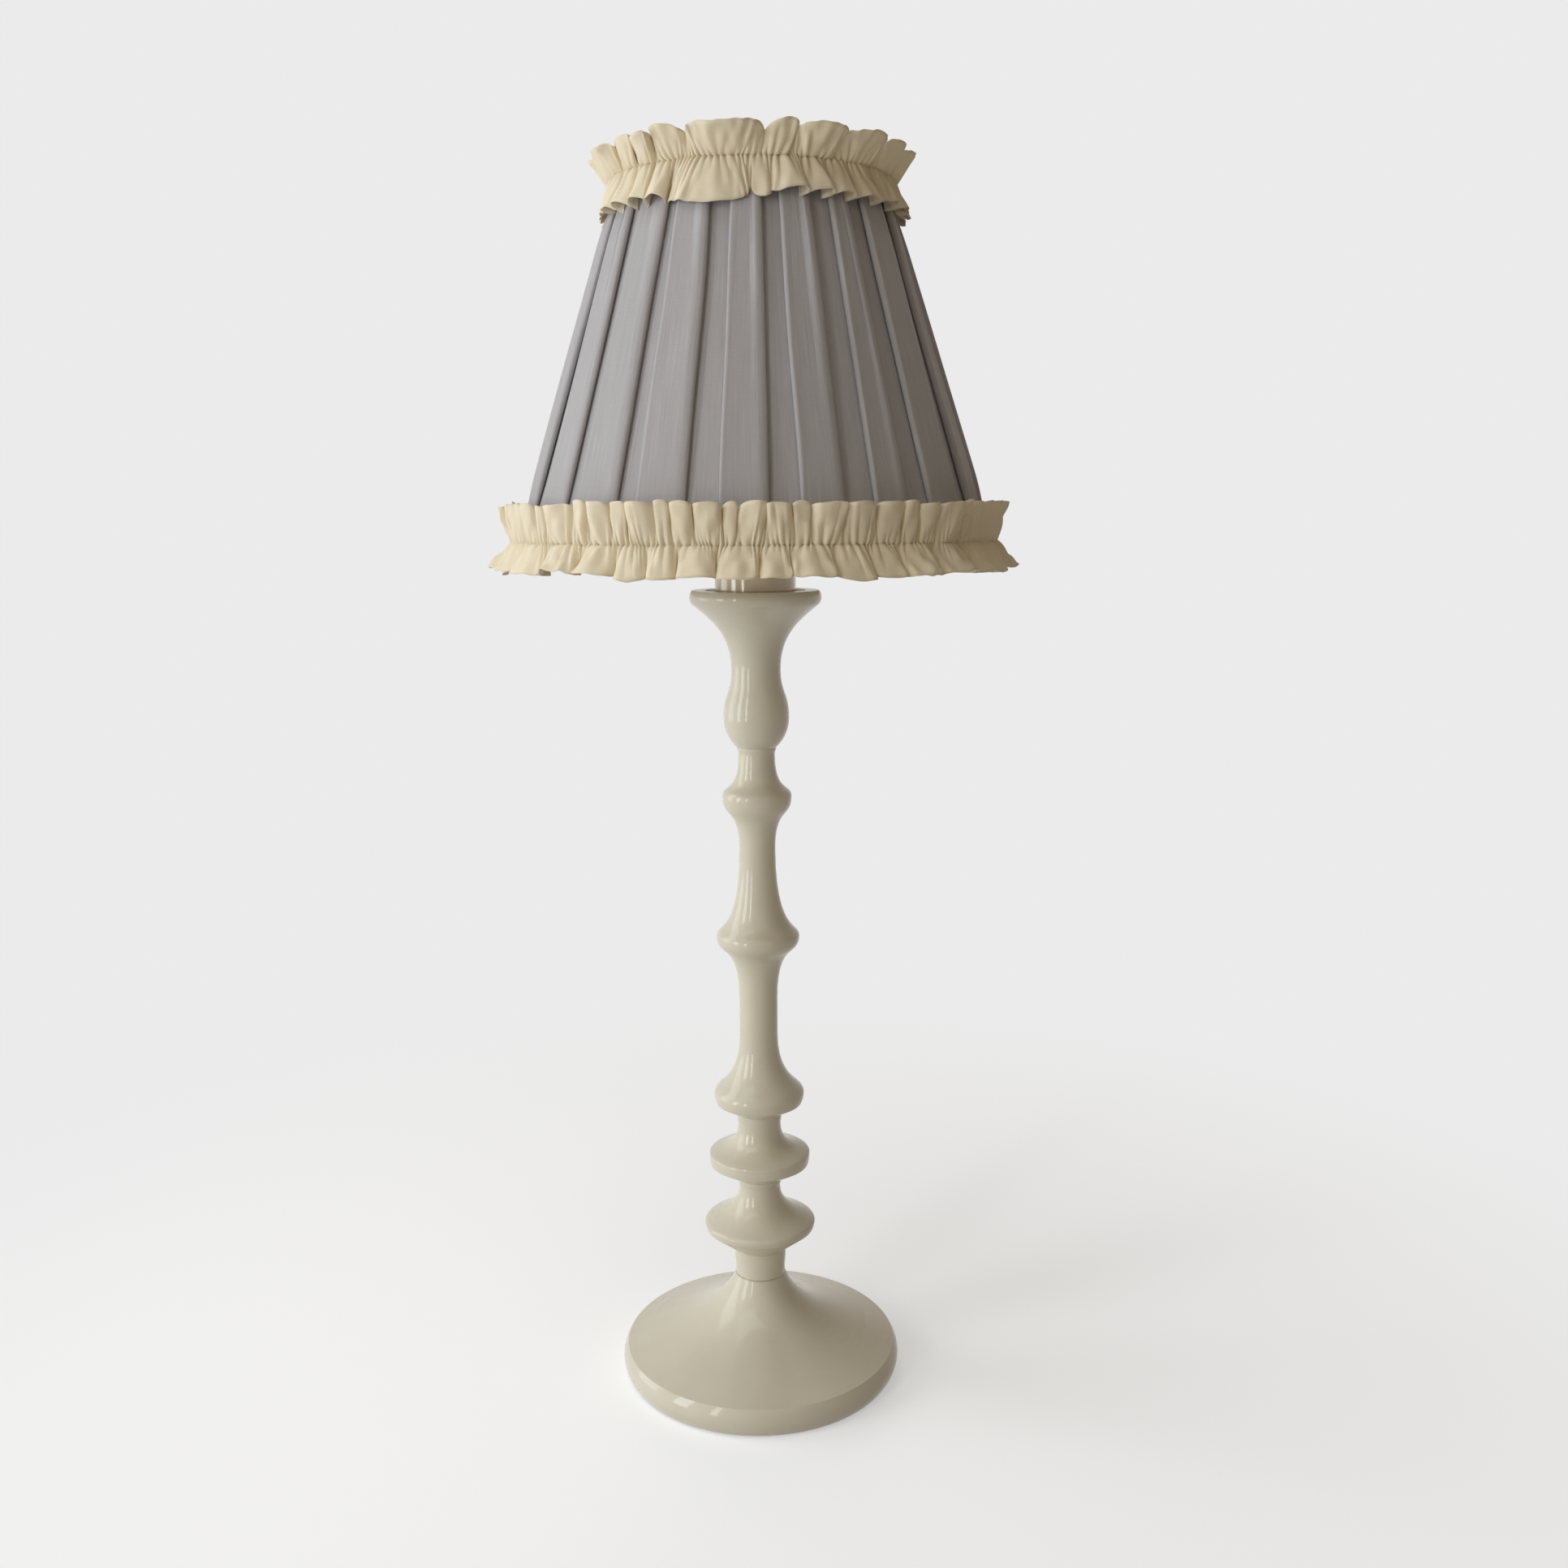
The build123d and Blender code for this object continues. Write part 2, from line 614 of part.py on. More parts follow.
def make_parts():
    pins = make_bayonet_pins()
    carrier_arms = make_carrier_arms()
    top_ring = make_shade_ring(TOP_RING_R, top_ring_z)
    bottom_ring = make_shade_ring(BOTTOM_RING_R, bottom_ring_z)
    parts = {
        "foot": make_foot(),
        "stem": make_stem(),
        "candle_cup": make_candle_cup(),
        "foot_weight": tube(WEIGHT_R, WEIGHT_HOLE_R, weight_z, WEIGHT_H),
        "foot_screw": make_foot_screw(),
        "screw_washer": tube(WASHER_R, SCREW_R, weight_top_z - WASHER_T, WASHER_T),
        "felt_pad": drum(FOOT_R - FELT_MARGIN, 0, FELT_T),
        "candle_tube": make_candle_tube(pins),
        "tube_plug": make_tube_plug(),
        "bayonet_pins": Compound(children=pins),
        "feed_spring": make_feed_spring(),
        "candle_follower": make_follower(),
        "candle": make_candle(),
        "wick": make_wick(),
        "nozzle_cap": make_nozzle_cap(),
        "carrier_collar": make_carrier_collar(carrier_arms),
        "gallery_ring": make_gallery(),
        "fitter_ring": tube(fitter_out_r, gallery_in_r, seat_z, FITTER_T),
        "top_ring": top_ring,
        "bottom_ring": bottom_ring,
        "lining": make_lining(),
        "pleated_cover": make_pleated_cover(),
        "hem_frill": make_hem_frill(),
        "crown_frill": make_crown_frill(),
    }
    parts |= numbered("carrier_arm", carrier_arms)
    parts |= numbered("fitter_arm", make_fitter_arms(top_ring))
    parts |= numbered("strut", make_struts([bottom_ring, top_ring]))
    return parts


os.makedirs("parts", exist_ok=True)
for node, solid in make_parts().items():
    export_step(solid, f"parts/{node}.step")
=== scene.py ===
# %% [markdown]
# A candle lamp with a pleated shade
#
# The real lamp is a turned candlestick under thick ivory lacquer. It carries a cream tube with a spring-fed
# candle, and over the tube sits a small shade of grey silk, box pleated over a wire frame and edged with two
# gathered frills. Most hard pieces come ready-made from the construction model, so this lesson gives them
# their finishes. The foot and stem, the spring and all the cloth are made here, because they need curves and
# folds that the construction model only hints at.

# %% Load the frame
import json
import math

import bmesh
import bpy
import numpy as np
from mathutils import Matrix, Vector


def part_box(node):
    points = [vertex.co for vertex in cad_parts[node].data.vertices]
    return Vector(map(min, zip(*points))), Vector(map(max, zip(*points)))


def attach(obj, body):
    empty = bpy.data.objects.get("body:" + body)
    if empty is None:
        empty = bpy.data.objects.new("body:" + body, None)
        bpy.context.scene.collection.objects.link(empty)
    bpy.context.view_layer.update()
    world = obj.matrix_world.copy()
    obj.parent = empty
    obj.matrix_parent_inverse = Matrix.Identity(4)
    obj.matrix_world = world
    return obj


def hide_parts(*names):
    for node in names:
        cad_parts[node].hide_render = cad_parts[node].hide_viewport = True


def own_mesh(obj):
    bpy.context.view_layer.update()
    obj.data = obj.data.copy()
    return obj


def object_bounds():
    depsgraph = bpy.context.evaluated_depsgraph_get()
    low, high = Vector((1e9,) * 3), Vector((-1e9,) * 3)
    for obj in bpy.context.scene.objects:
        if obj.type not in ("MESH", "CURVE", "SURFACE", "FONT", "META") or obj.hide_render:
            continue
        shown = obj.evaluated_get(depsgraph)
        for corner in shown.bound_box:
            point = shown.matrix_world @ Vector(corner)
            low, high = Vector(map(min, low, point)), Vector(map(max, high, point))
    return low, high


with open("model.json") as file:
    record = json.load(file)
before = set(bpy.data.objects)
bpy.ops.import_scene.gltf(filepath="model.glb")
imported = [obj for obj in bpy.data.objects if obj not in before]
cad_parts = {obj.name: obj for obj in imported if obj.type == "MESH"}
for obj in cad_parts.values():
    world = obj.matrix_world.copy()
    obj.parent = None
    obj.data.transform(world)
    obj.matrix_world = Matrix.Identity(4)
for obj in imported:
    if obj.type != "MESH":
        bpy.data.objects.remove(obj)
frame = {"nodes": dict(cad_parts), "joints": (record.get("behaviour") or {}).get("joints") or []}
nodes = frame["nodes"]
cad_box = [list(corner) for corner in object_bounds()]
cad_size = [round(high - low, 4) for low, high in zip(*cad_box)]
print("construction model:", len(nodes), "pieces in a box of", cad_size, "m")

# %% [markdown]
# Measuring the frame
#
# Every cloth piece hangs on the two wire rings of the shade, so their sizes are read from the model instead
# of being typed again. Between the rings the frame is a straight cone, and one small function gives its
# radius at a height.

# %% Sizes of the shade's wire frame
MM = 0.001
FRONT = math.radians(-90)


def ring_sizes(node):
    """Middle radius and height of a ring that lies level around the stem."""
    low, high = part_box(node)
    wire = (high.z - low.z) / 2
    return high.x - wire, (low.z + high.z) / 2


top_r, top_z = ring_sizes("top_ring")
bottom_r, bottom_z = ring_sizes("bottom_ring")
slant = math.hypot(bottom_r - top_r, top_z - bottom_z)


def frame_r(z):
    """Radius of the frame's cone at a height."""
    return bottom_r + (top_r - bottom_r) * (z - bottom_z) / (top_z - bottom_z)


print("rings", round(bottom_r * 2, 4), "and", round(top_r * 2, 4), "m across,", round(slant, 4), "m of slope")

# %% [markdown]
# Shader maths in plain Python
#
# A finish is a tree of shader nodes. Wiring each Math node by hand is slow to read, so a small class wraps a
# socket and overloads the operators: writing `1 - mask` then adds the node by itself. A second class holds
# the tree, and its `node` method makes any other node from its type, its settings and its sockets.

# %% Sockets that calculate
class Signal:
    """The output of a node, with Python's operators for its numbers."""

    def __init__(self, wiring, output):
        self.wiring = wiring
        self.output = output

    def _math(self, operation, left, right):
        return self.wiring.node("ShaderNodeMath", {"operation": operation}, {0: left, 1: right})

    def __add__(self, other):
        return self._math("ADD", self, other)

    def __sub__(self, other):
        return self._math("SUBTRACT", self, other)

    def __rsub__(self, other):
        return self._math("SUBTRACT", other, self)

    def __mul__(self, other):
        return self._math("MULTIPLY", self, other)

    __radd__ = __add__
    __rmul__ = __mul__


print("sockets can be added, subtracted and multiplied")


# %% A tree of nodes under construction
class Wiring:
    """A node tree. Its node method makes any node from a type, settings and what goes into its sockets."""

    def __init__(self, tree):
        self.tree = tree

    def node(self, kind, settings, sockets, output=0):
        made = self.tree.nodes.new(kind)
        for name, value in settings.items():
            if name == "stops":
                for stop, (place, shade) in zip(made.color_ramp.elements, value):
                    stop.position = place
                    stop.color = (shade, shade, shade, 1)
            else:
                setattr(made, name, value)
        for name, value in sockets.items():
            if isinstance(value, Signal):
                self.tree.links.new(value.output, made.inputs[name])
            else:
                made.inputs[name].default_value = value
        return Signal(self, made.outputs[output])

    def shown(self, kind, shader):
        """Sends a shader to the tree's output node."""
        self.tree.links.new(shader.output, self.tree.nodes[kind].inputs["Surface"])

    def backdrop_rays(self):
        """1 for rays that see the backdrop: the camera's own, mirrored ones and those through glass."""
        unseen = 1.0
        for ray in ("Is Camera Ray", "Is Glossy Ray", "Is Transmission Ray"):
            unseen = unseen * (1 - self.node("ShaderNodeLightPath", {}, {}, ray))
        return 1 - unseen

    def mixed_shaders(self, share, first, second):
        return self.node("ShaderNodeMixShader", {}, {0: share, 1: first, 2: second})


print("a tree of nodes can be wired")


# %% A finish
class Finish(Wiring):
    """A material around one Principled shader. Values that are even all over are set on the shader itself."""

    def __init__(self, name, even):
        self.material = bpy.data.materials.new(name)
        self.material.use_nodes = True
        super().__init__(self.material.node_tree)
        self.shader = self.tree.nodes["Principled BSDF"]
        for socket, value in even.items():
            self.shader.inputs[socket].default_value = value

    def feed(self, socket, value):
        self.tree.links.new(value.output, self.shader.inputs[socket])

    def place(self):
        """Where a point is on the piece, in metres."""
        return self.node("ShaderNodeTexCoord", {}, {}, "Object")

    def cloth(self):
        """Where a point is on the flat cut of the cloth, in metres."""
        return self.node("ShaderNodeUVMap", {"uv_map": "cloth"}, {})

    def part(self, vector, axis):
        return self.node("ShaderNodeSeparateXYZ", {}, {0: vector}, axis)

    def noise(self, vector, scale, detail):
        return self.node("ShaderNodeTexNoise", {}, {"Vector": vector, "Scale": scale, "Detail": detail})

    def streaks(self, vector, x, y, z, detail=2):
        """Noise that is drawn out, with its own number of grains to the metre along each axis."""
        drawn = self.node("ShaderNodeVectorMath", {"operation": "MULTIPLY"}, {0: vector, 1: (x, y, z)})
        return self.noise(drawn, 1, detail)

    def sine(self, value):
        return self.node("ShaderNodeMath", {"operation": "SINE"}, {0: value})

    def woven(self, flat, thread):
        """A plain weave from two crossed sines, with a thread to each given length."""
        turn = 2 * math.pi / thread
        return self.sine(self.part(flat, "X") * turn) * self.sine(self.part(flat, "Y") * turn)

    def ramp(self, value, low, high):
        """0 below low and 1 above high."""
        stops = [(low, 0.0), (high, 1.0)]
        return self.node("ShaderNodeValToRGB", {"stops": stops}, {0: value})

    def mixed(self, share, first, second):
        """From the first colour to the second."""
        return self.node("ShaderNodeMix", {"data_type": "RGBA"}, {0: share, 6: first, 7: second}, 2)

    def bumped(self, height, depth):
        """Raises the surface by a height of 0 to 1, which stands for a depth in metres."""
        self.feed("Normal", self.node("ShaderNodeBump", {}, {"Height": height, "Distance": depth}))


def colour(red, green, blue):
    """A colour as a screen shows it, from 0 to 255, in the linear values that a shader works in."""
    shares = [c / 255 for c in (red, green, blue)]
    return tuple(c / 12.92 if c <= 0.04045 else ((c + 0.055) / 1.055) ** 2.4 for c in shares) + (1.0,)


def paint(finish, *names):
    """Puts a finish on pieces of the construction model."""
    for name in names:
        materials = nodes[name].data.materials
        materials.clear()
        materials.append(finish.material)


print("mid grey on screen is", round(colour(128, 128, 128)[0], 3), "in the shader")

# %% [markdown]
# Camera
#
# The photograph was taken from close by, a little above the hem of the shade, looking slightly down. A camera
# that close makes the foot a wide oval and the hem almost a straight line, so its distance matters more than
# its lens. The lens follows from the size of the lamp in the frame, and a small turn puts the lamp left of
# the middle.

# %% Camera
PHOTO_W = 1932
FOCAL_PX = 1870
SENSOR_MM = 36.0
CAMERA_PLACE = (0.0, -0.528, 0.314)
CAMERA_PITCH = -10.0
CAMERA_TURN = -1.04
CAMERA_ROLL = -0.25

camera_data = bpy.data.cameras.new("photo camera")
camera_data.sensor_width = SENSOR_MM
camera_data.lens = SENSOR_MM * FOCAL_PX / PHOTO_W
camera_data.clip_start = 0.01
camera = bpy.data.objects.new("photo_camera", camera_data)
camera.matrix_world = (
    Matrix.Translation(CAMERA_PLACE)
    @ Matrix.Rotation(math.radians(CAMERA_TURN), 4, "Z")
    @ Matrix.Rotation(math.radians(90 + CAMERA_PITCH), 4, "X")
    @ Matrix.Rotation(math.radians(CAMERA_ROLL), 4, "Z")
)
bpy.context.scene.collection.objects.link(camera)
bpy.context.scene.camera = camera
bpy.context.scene.view_settings.view_transform = "Standard"
print("lens", round(camera_data.lens, 2), "mm at", CAMERA_PLACE)

# %% [markdown]
# Studio: backdrop, floor and window light
#
# The lamp stands in front of an even pale grey, lit by tall windows on the left. The backdrop is the colour
# of the world as the camera, reflections and clear materials see it, while the light that the world throws is
# set apart. The floor takes the lamp's shadow near the foot and passes into the same grey further out, so no
# horizon shows.

# %% Backdrop
BACKDROP = colour(235, 235, 235)
WORLD_LIGHT = (1.0, 0.78, 0.50, 1.0)
WORLD_STRENGTH = 0.13

world = bpy.data.worlds.new("studio")
world.use_nodes = True
bpy.context.scene.world = world
studio = Wiring(world.node_tree)
thrown = studio.node("ShaderNodeBackground", {}, {"Color": WORLD_LIGHT, "Strength": WORLD_STRENGTH})
shown = studio.node("ShaderNodeBackground", {}, {"Color": BACKDROP, "Strength": 1.0})
studio.shown("World Output", studio.mixed_shaders(studio.backdrop_rays(), thrown, shown))
print("backdrop", [round(c, 3) for c in BACKDROP[:3]], "and world light", WORLD_STRENGTH)

# %% Floor
FLOOR_R = 6.0
FLOOR_SIDES = 64
FLOOR_DROP = 0.2 * MM
SHADOW_R = (0.10, 0.45)
FLOOR_ALBEDO = colour(222, 222, 222)
FLOOR_GLOW = (0.40, 0.41, 0.425, 1.0)

floor_mesh = bpy.data.meshes.new("floor")
floor_turn = np.linspace(0, 2 * np.pi, FLOOR_SIDES, endpoint=False)
floor_rim = [(FLOOR_R * math.cos(a), FLOOR_R * math.sin(a), -FLOOR_DROP) for a in floor_turn]
floor_mesh.from_pydata(floor_rim, [], [list(range(FLOOR_SIDES))])
floor = bpy.data.objects.new("floor", floor_mesh)
bpy.context.scene.collection.objects.link(floor)

ground = Finish("pale_floor", {"Base Color": FLOOR_ALBEDO, "Roughness": 0.9, "Specular IOR Level": 0.0})
matt = Signal(ground, ground.shader.outputs[0])
away = ground.node("ShaderNodeVectorMath", {"operation": "LENGTH"}, {0: ground.place()}, "Value")
far = ground.node("ShaderNodeMapRange", {"interpolation_type": "SMOOTHSTEP"},
                  {"Value": away, "From Min": SHADOW_R[0], "From Max": SHADOW_R[1]})
glow = ground.node("ShaderNodeEmission", {}, {"Color": FLOOR_GLOW, "Strength": 1.0})
near = ground.node("ShaderNodeAddShader", {}, {0: matt, 1: glow})
same_grey = ground.node("ShaderNodeEmission", {}, {"Color": BACKDROP, "Strength": 1.0})
seen_floor = ground.mixed_shaders(far, near, same_grey)
ground.shown("Material Output", ground.mixed_shaders(ground.backdrop_rays(), matt, seen_floor))
floor_mesh.materials.append(ground.material)
print("floor", FLOOR_R * 2, "m across, shadow kept within", SHADOW_R[1], "m")

# %% Window light
AIM = Vector((0.0, 0.0, 0.25))
COOL = (0.91, 0.955, 1.0)
SKY = (0.88, 0.95, 1.0)
DAY = (1.0, 0.99, 0.96)
CREAM_WALL = (1.0, 0.91, 0.78)
WARM = (1.0, 0.82, 0.57)


def window(name, azimuth, height, distance, wide, tall, power, tint):
    """A soft pane of light that faces the lamp, at degrees from the camera, below zero to its left."""
    data = bpy.data.lights.new(name, "AREA")
    data.shape = "RECTANGLE"
    data.size = wide
    data.size_y = tall
    data.energy = power
    data.color = tint
    pane = bpy.data.objects.new(name, data)
    turn = FRONT + math.radians(azimuth)
    pane.location = (distance * math.cos(turn), distance * math.sin(turn), height)
    pane.rotation_euler = (AIM - pane.location).to_track_quat("-Z", "Y").to_euler()
    bpy.context.scene.collection.objects.link(pane)
    return pane


window("left_window", azimuth=-64, height=0.40, distance=1.3, wide=0.30, tall=1.0, power=6.2, tint=COOL)
window("near_window", azimuth=-36, height=0.46, distance=1.4, wide=0.14, tall=1.0, power=3.8, tint=DAY)
window("side_window", azimuth=-100, height=0.66, distance=1.3, wide=0.6, tall=1.5, power=7.6, tint=COOL)
window("ceiling", azimuth=-50, height=1.7, distance=0.6, wide=1.0, tall=1.0, power=5.0, tint=SKY)
window("room", azimuth=20, height=1.05, distance=1.2, wide=0.9, tall=0.7, power=1.2, tint=WARM)
far_wall = window("far_wall", azimuth=180, height=0.6, distance=1.6, wide=1.4, tall=1.0, power=7.0,
                  tint=CREAM_WALL)
far_wall.visible_glossy = False
print("four panes of daylight and two of warm light from the room")

# %% [markdown]
# Ivory lacquer
#
# The foot and stem are turned wood under many coats of ivory gloss lacquer. A flat white with a low roughness
# would look like plastic. Real lacquer keeps faint rings from the lathe, a slight orange peel, and places
# where polish and fingers have changed the gloss, so noise drives the roughness, the coat and a very shallow
# bump. Where the stem stands on the foot the lacquer has cracked along the joint, and a little dirt has
# settled in the hairline.

# %% Lacquer
IVORY = colour(218, 212, 194)
IVORY_DEEP = colour(205, 197, 172)
JOINT_DIRT = colour(150, 136, 108)
# Millimetres from the joint where the hairline starts to fade, and where it ends
HAIRLINE = (0.10, 0.45)

joint_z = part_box("foot")[1].z
lacquer = Finish("ivory_lacquer", {"IOR": 1.5, "Coat Roughness": 0.03, "Specular IOR Level": 0.08})
spot = lacquer.place()
cloudy = lacquer.noise(spot, 38, 3)
rings = lacquer.streaks(spot, 60, 60, 1400)
peel = lacquer.noise(spot, 900, 1)
above_joint = lacquer.part(spot, "Z") - joint_z
from_joint = lacquer.node("ShaderNodeMath", {"operation": "ABSOLUTE"}, {0: above_joint})
at_joint = 1 - lacquer.ramp(from_joint * (1 / MM), *HAIRLINE)
hairline = at_joint * lacquer.ramp(lacquer.noise(spot, 120, 2), 0.30, 0.55)
ivory = lacquer.mixed(lacquer.ramp(cloudy, 0.42, 0.72) * 0.5, IVORY, IVORY_DEEP)
lacquer.feed("Base Color", lacquer.mixed(hairline * 0.6, ivory, JOINT_DIRT))
lacquer.feed("Roughness", 0.16 + cloudy * 0.16 + rings * 0.04 + hairline * 0.3)
lacquer.feed("Coat Weight", (0.36 + lacquer.ramp(cloudy, 0.3, 0.7) * 0.28) * (1 - hairline))
lacquer.bumped(rings * 0.5 + peel * 0.5, 0.014 * MM)
print("lacquer mixed, with a hairline at", round(joint_z / MM, 1), "mm where the stem stands on the foot")

# %% [markdown]
# The turned foot and stem
#
# A turner shapes the foot and the stem from two blanks and leaves no flat flank: each bead rises from its
# neck in one S-curve and rolls over a soft rim. The construction model has these forms in plain arcs and
# cones. Light shows the difference, because a bead with a crease under it breaks a reflection that should
# slide round it. So a small pen draws half of the section, with one stroke for each kind of cut, and the
# section is turned about the axis.

# %% A pen for turned sections
class Pen:
    """Draws half of a turned section in millimetres, as points of radius and height."""

    STEPS = 12
    # How far the handles of a stroke reach, as shares of its run or its rise
    HOLD = 0.55
    REACH = 0.45
    LEAN = 0.22
    RIM_RISE = 0.29
    # A cubic swells by three quarters of the way out to its handles
    SWELL = 0.75

    def __init__(self, *corners):
        self.points = list(corners)

    def corner(self, r, z):
        self.points.append((r, z))

    def straight(self, r, rise):
        self.corner(r, self.points[-1][1] + rise)

    def curve(self, near, far, r, rise):
        """A cubic from the last point, with its two handles as radius and share of the rise."""
        from_r, from_z = self.points[-1]
        t = np.linspace(0, 1, self.STEPS + 1)[1:]
        weights = [(1 - t) ** 3, 3 * t * (1 - t) ** 2, 3 * t ** 2 * (1 - t), t ** 3]
        across = sum(w * v for w, v in zip(weights, (from_r, near[0], far[0], r)))
        up = sum(w * v for w, v in zip(weights, (0, near[1], far[1], 1)))
        self.points += zip(across, from_z + rise * up)

    def ease(self, r, rise, start=0.5, end=0.5):
        """An S-curve that is upright at both ends, which hold on for their shares of the rise."""
        self.curve((self.points[-1][0], start), (r, 1 - end), r, rise)

    def swell(self, r, rise):
        """A belly that leaves a crease at a slant and is upright where it is widest."""
        from_r = self.points[-1][0]
        self.curve((from_r + self.HOLD * (r - from_r), self.LEAN), (r, self.HOLD), r, rise)

    def sweep(self, r, rise):
        """A hollow from an upright neck out to an edge."""
        from_r = self.points[-1][0]
        self.curve((from_r, self.HOLD), (r - self.REACH * (r - from_r), 1 - self.LEAN), r, rise)

    def flare(self, r, rise, lean):
        """A hollow from an edge in to a neck, still leaning outwards where it ends."""
        from_r = self.points[-1][0]
        self.curve((from_r - self.REACH * (from_r - r), self.LEAN), (r + lean * rise, self.REACH), r, rise)

    def rim(self, out, rise):
        """A rounded edge that comes back to its own radius."""
        r = self.points[-1][0]
        handle_r = r + out / self.SWELL
        self.curve((handle_r, self.RIM_RISE), (handle_r, 1 - self.RIM_RISE), r, rise)


print("a pen that draws a curve in", Pen.STEPS, "steps")

# %% Turning a section
TURN_SIDES = 128
SAME_PLACE = 0.001 * MM
SHARP_EDGE = math.radians(28)


def around_axis(radius, angle, height):
    """Points at a radius, an angle and a height about the lamp's axis."""
    return np.stack([radius * np.cos(angle), radius * np.sin(angle), height + 0 * angle], axis=-1)


def finished(mesh, finish):
    """An object from a mesh, smooth and with its finish."""
    mesh.polygons.foreach_set("use_smooth", np.ones(len(mesh.polygons), bool))
    mesh.materials.append(finish.material)
    piece = bpy.data.objects.new(mesh.name, mesh)
    bpy.context.scene.collection.objects.link(piece)
    return piece


def turned_piece(name, node, points):
    """Turns a section about the axis. A section that starts and ends on the axis is closed there."""
    section = np.array(points) * MM
    turn = 2 * np.pi * np.arange(TURN_SIDES) / TURN_SIDES
    rings = around_axis(section[:, :1], turn, section[:, 1:])
    row, side = np.meshgrid(np.arange(len(section)), np.arange(TURN_SIDES), indexing="ij")
    below, above = row * TURN_SIDES, (row + 1) % len(section) * TURN_SIDES
    after = (side + 1) % TURN_SIDES
    faces = np.stack([below + side, below + after, above + after, above + side], axis=-1)
    if section[0, 0] == 0:
        faces = faces[:-1]
    mesh = bpy.data.meshes.new(name)
    mesh.from_pydata(rings.reshape(-1, 3).tolist(), [], faces.reshape(-1, 4).tolist())
    work = bmesh.new()
    work.from_mesh(mesh)
    bmesh.ops.remove_doubles(work, verts=work.verts, dist=SAME_PLACE)
    bmesh.ops.recalc_face_normals(work, faces=work.faces)
    work.to_mesh(mesh)
    work.free()
    piece = finished(mesh, lacquer)
    mesh.set_sharp_from_angle(angle=SHARP_EDGE)
    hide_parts(node)
    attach(piece, "candlestick")


def widest(node):
    """Radius and top of a round piece, in millimetres."""
    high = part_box(node)[1]
    return high.x / MM, high.z / MM


print("sections are turned in", TURN_SIDES, "sides")

# %% Foot
FOOT_R = 49.6
FOOT_RIM = 1.8
FOOT_RIM_H = 10.3
FOOT_LEAN = 0.21
JOINT_R = 9.1
TENON_R = 5.6
TENON_H = 22.0
SCREW_R = 2.0
SCREW_GRIP = 16.0

joint = joint_z / MM
tenon = joint - TENON_H
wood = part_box("foot")[0].z / MM
felt_r, felt_top = widest("felt_pad")
weight_r, weight_top = widest("foot_weight")

foot = Pen((FOOT_R, wood))
foot.rim(FOOT_RIM, FOOT_RIM_H - wood)
foot.flare(JOINT_R, joint - FOOT_RIM_H, FOOT_LEAN)
hollow = [(TENON_R, joint), (TENON_R, tenon), (SCREW_R, tenon), (SCREW_R, weight_top), (weight_r, weight_top),
          (weight_r, felt_top), (felt_r, felt_top), (felt_r, wood)]
for corner in hollow:
    foot.corner(*corner)
turned_piece("turned_foot", "foot", foot.points)
print("foot of", len(foot.points), "points on its section, hollow for the weight and the felt")

# %% Stem
NECK = (9.5, 10.0)
# Radius and rise of the coned underside, the edge, the flank with the holds of its two ends, and the waist
CONED = [
    ((19.9, 8.2), (20.3, 2.1), (7.5, 13.4, 0.12, 0.69), (8.1, 3.5)),
    ((18.0, 6.0), (18.4, 3.8), (7.8, 10.7, 0.15, 0.85), (8.2, 4.7)),
    ((15.6, 4.3), (16.4, 3.5), (6.9, 22.2, 0.17, 0.80), (6.9, 13.6)),
]
# Radius, rise and the holds of both ends of the S-curves below and above a rim
ROLLED = [
    ((14.9, 23.2, 0.91, 0.29), (6.4, 32.2, 0.12, 0.95)),
    ((12.3, 18.7, 0.78, 0.40), (6.4, 15.1, 0.29, 0.92)),
]
VASE_CREASE = (6.9, 2.5)
VASE = (11.5, 10.6)
THROAT = (8.6, 17.0)
PAN = (22.0, 22.4)
PAN_LIP = (0.9, 4.8)
SOCKET_R = 8.9
CUP_PLATE = 0.8

plate_r, plate_top = widest("candle_cup")
plate_under = plate_top - CUP_PLATE
socket_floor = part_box("candle_cup")[0].z / MM

stem = Pen((0, tenon + SCREW_GRIP), (SCREW_R, tenon + SCREW_GRIP), (SCREW_R, tenon), (TENON_R, tenon),
           (TENON_R, joint), (JOINT_R, joint))
stem.ease(*NECK)
for underside, edge, flank, waist in CONED:
    stem.straight(*underside)
    stem.swell(*edge)
    stem.ease(*flank)
    stem.ease(*waist)
for below, above in ROLLED:
    stem.ease(*below)
    stem.ease(*above)
stem.ease(*VASE_CREASE)
stem.swell(*VASE)
stem.ease(*THROAT)
stem.sweep(*PAN)
stem.rim(*PAN_LIP)
pan_top = stem.points[-1][1]
socket = [(plate_r, pan_top), (plate_r, plate_under), (SOCKET_R, plate_under), (SOCKET_R, socket_floor),
          (0, socket_floor)]
for corner in socket:
    stem.corner(*corner)
turned_piece("turned_stem", "stem", stem.points)

# %% [markdown]
# Enamel, metals, wax and felt
#
# The other hard pieces mostly hide under the shade or the foot, but they come into view when the shade is
# lifted or the lamp is tipped. Each is a short variation on the same idea: one colour, a second that wears or
# gathers in it, and a roughness that follows the same noise, so that the wear also shows in the gloss.

# %% Cream enamel of the candle tube
enamel = Finish("cream_enamel", {"IOR": 1.52, "Coat Roughness": 0.04})
spot = enamel.place()
cloudy = enamel.noise(spot, 55, 2)
runs = enamel.streaks(spot, 260, 260, 14)
enamel.feed("Base Color", enamel.mixed(cloudy * 0.6, colour(224, 208, 170), colour(208, 188, 146)))
enamel.feed("Roughness", 0.10 + cloudy * 0.10)
enamel.feed("Coat Weight", 0.5 + runs * 0.4)
enamel.bumped(runs, 0.05 * MM)
paint(enamel, "candle_tube")
print("enamel on the candle tube")


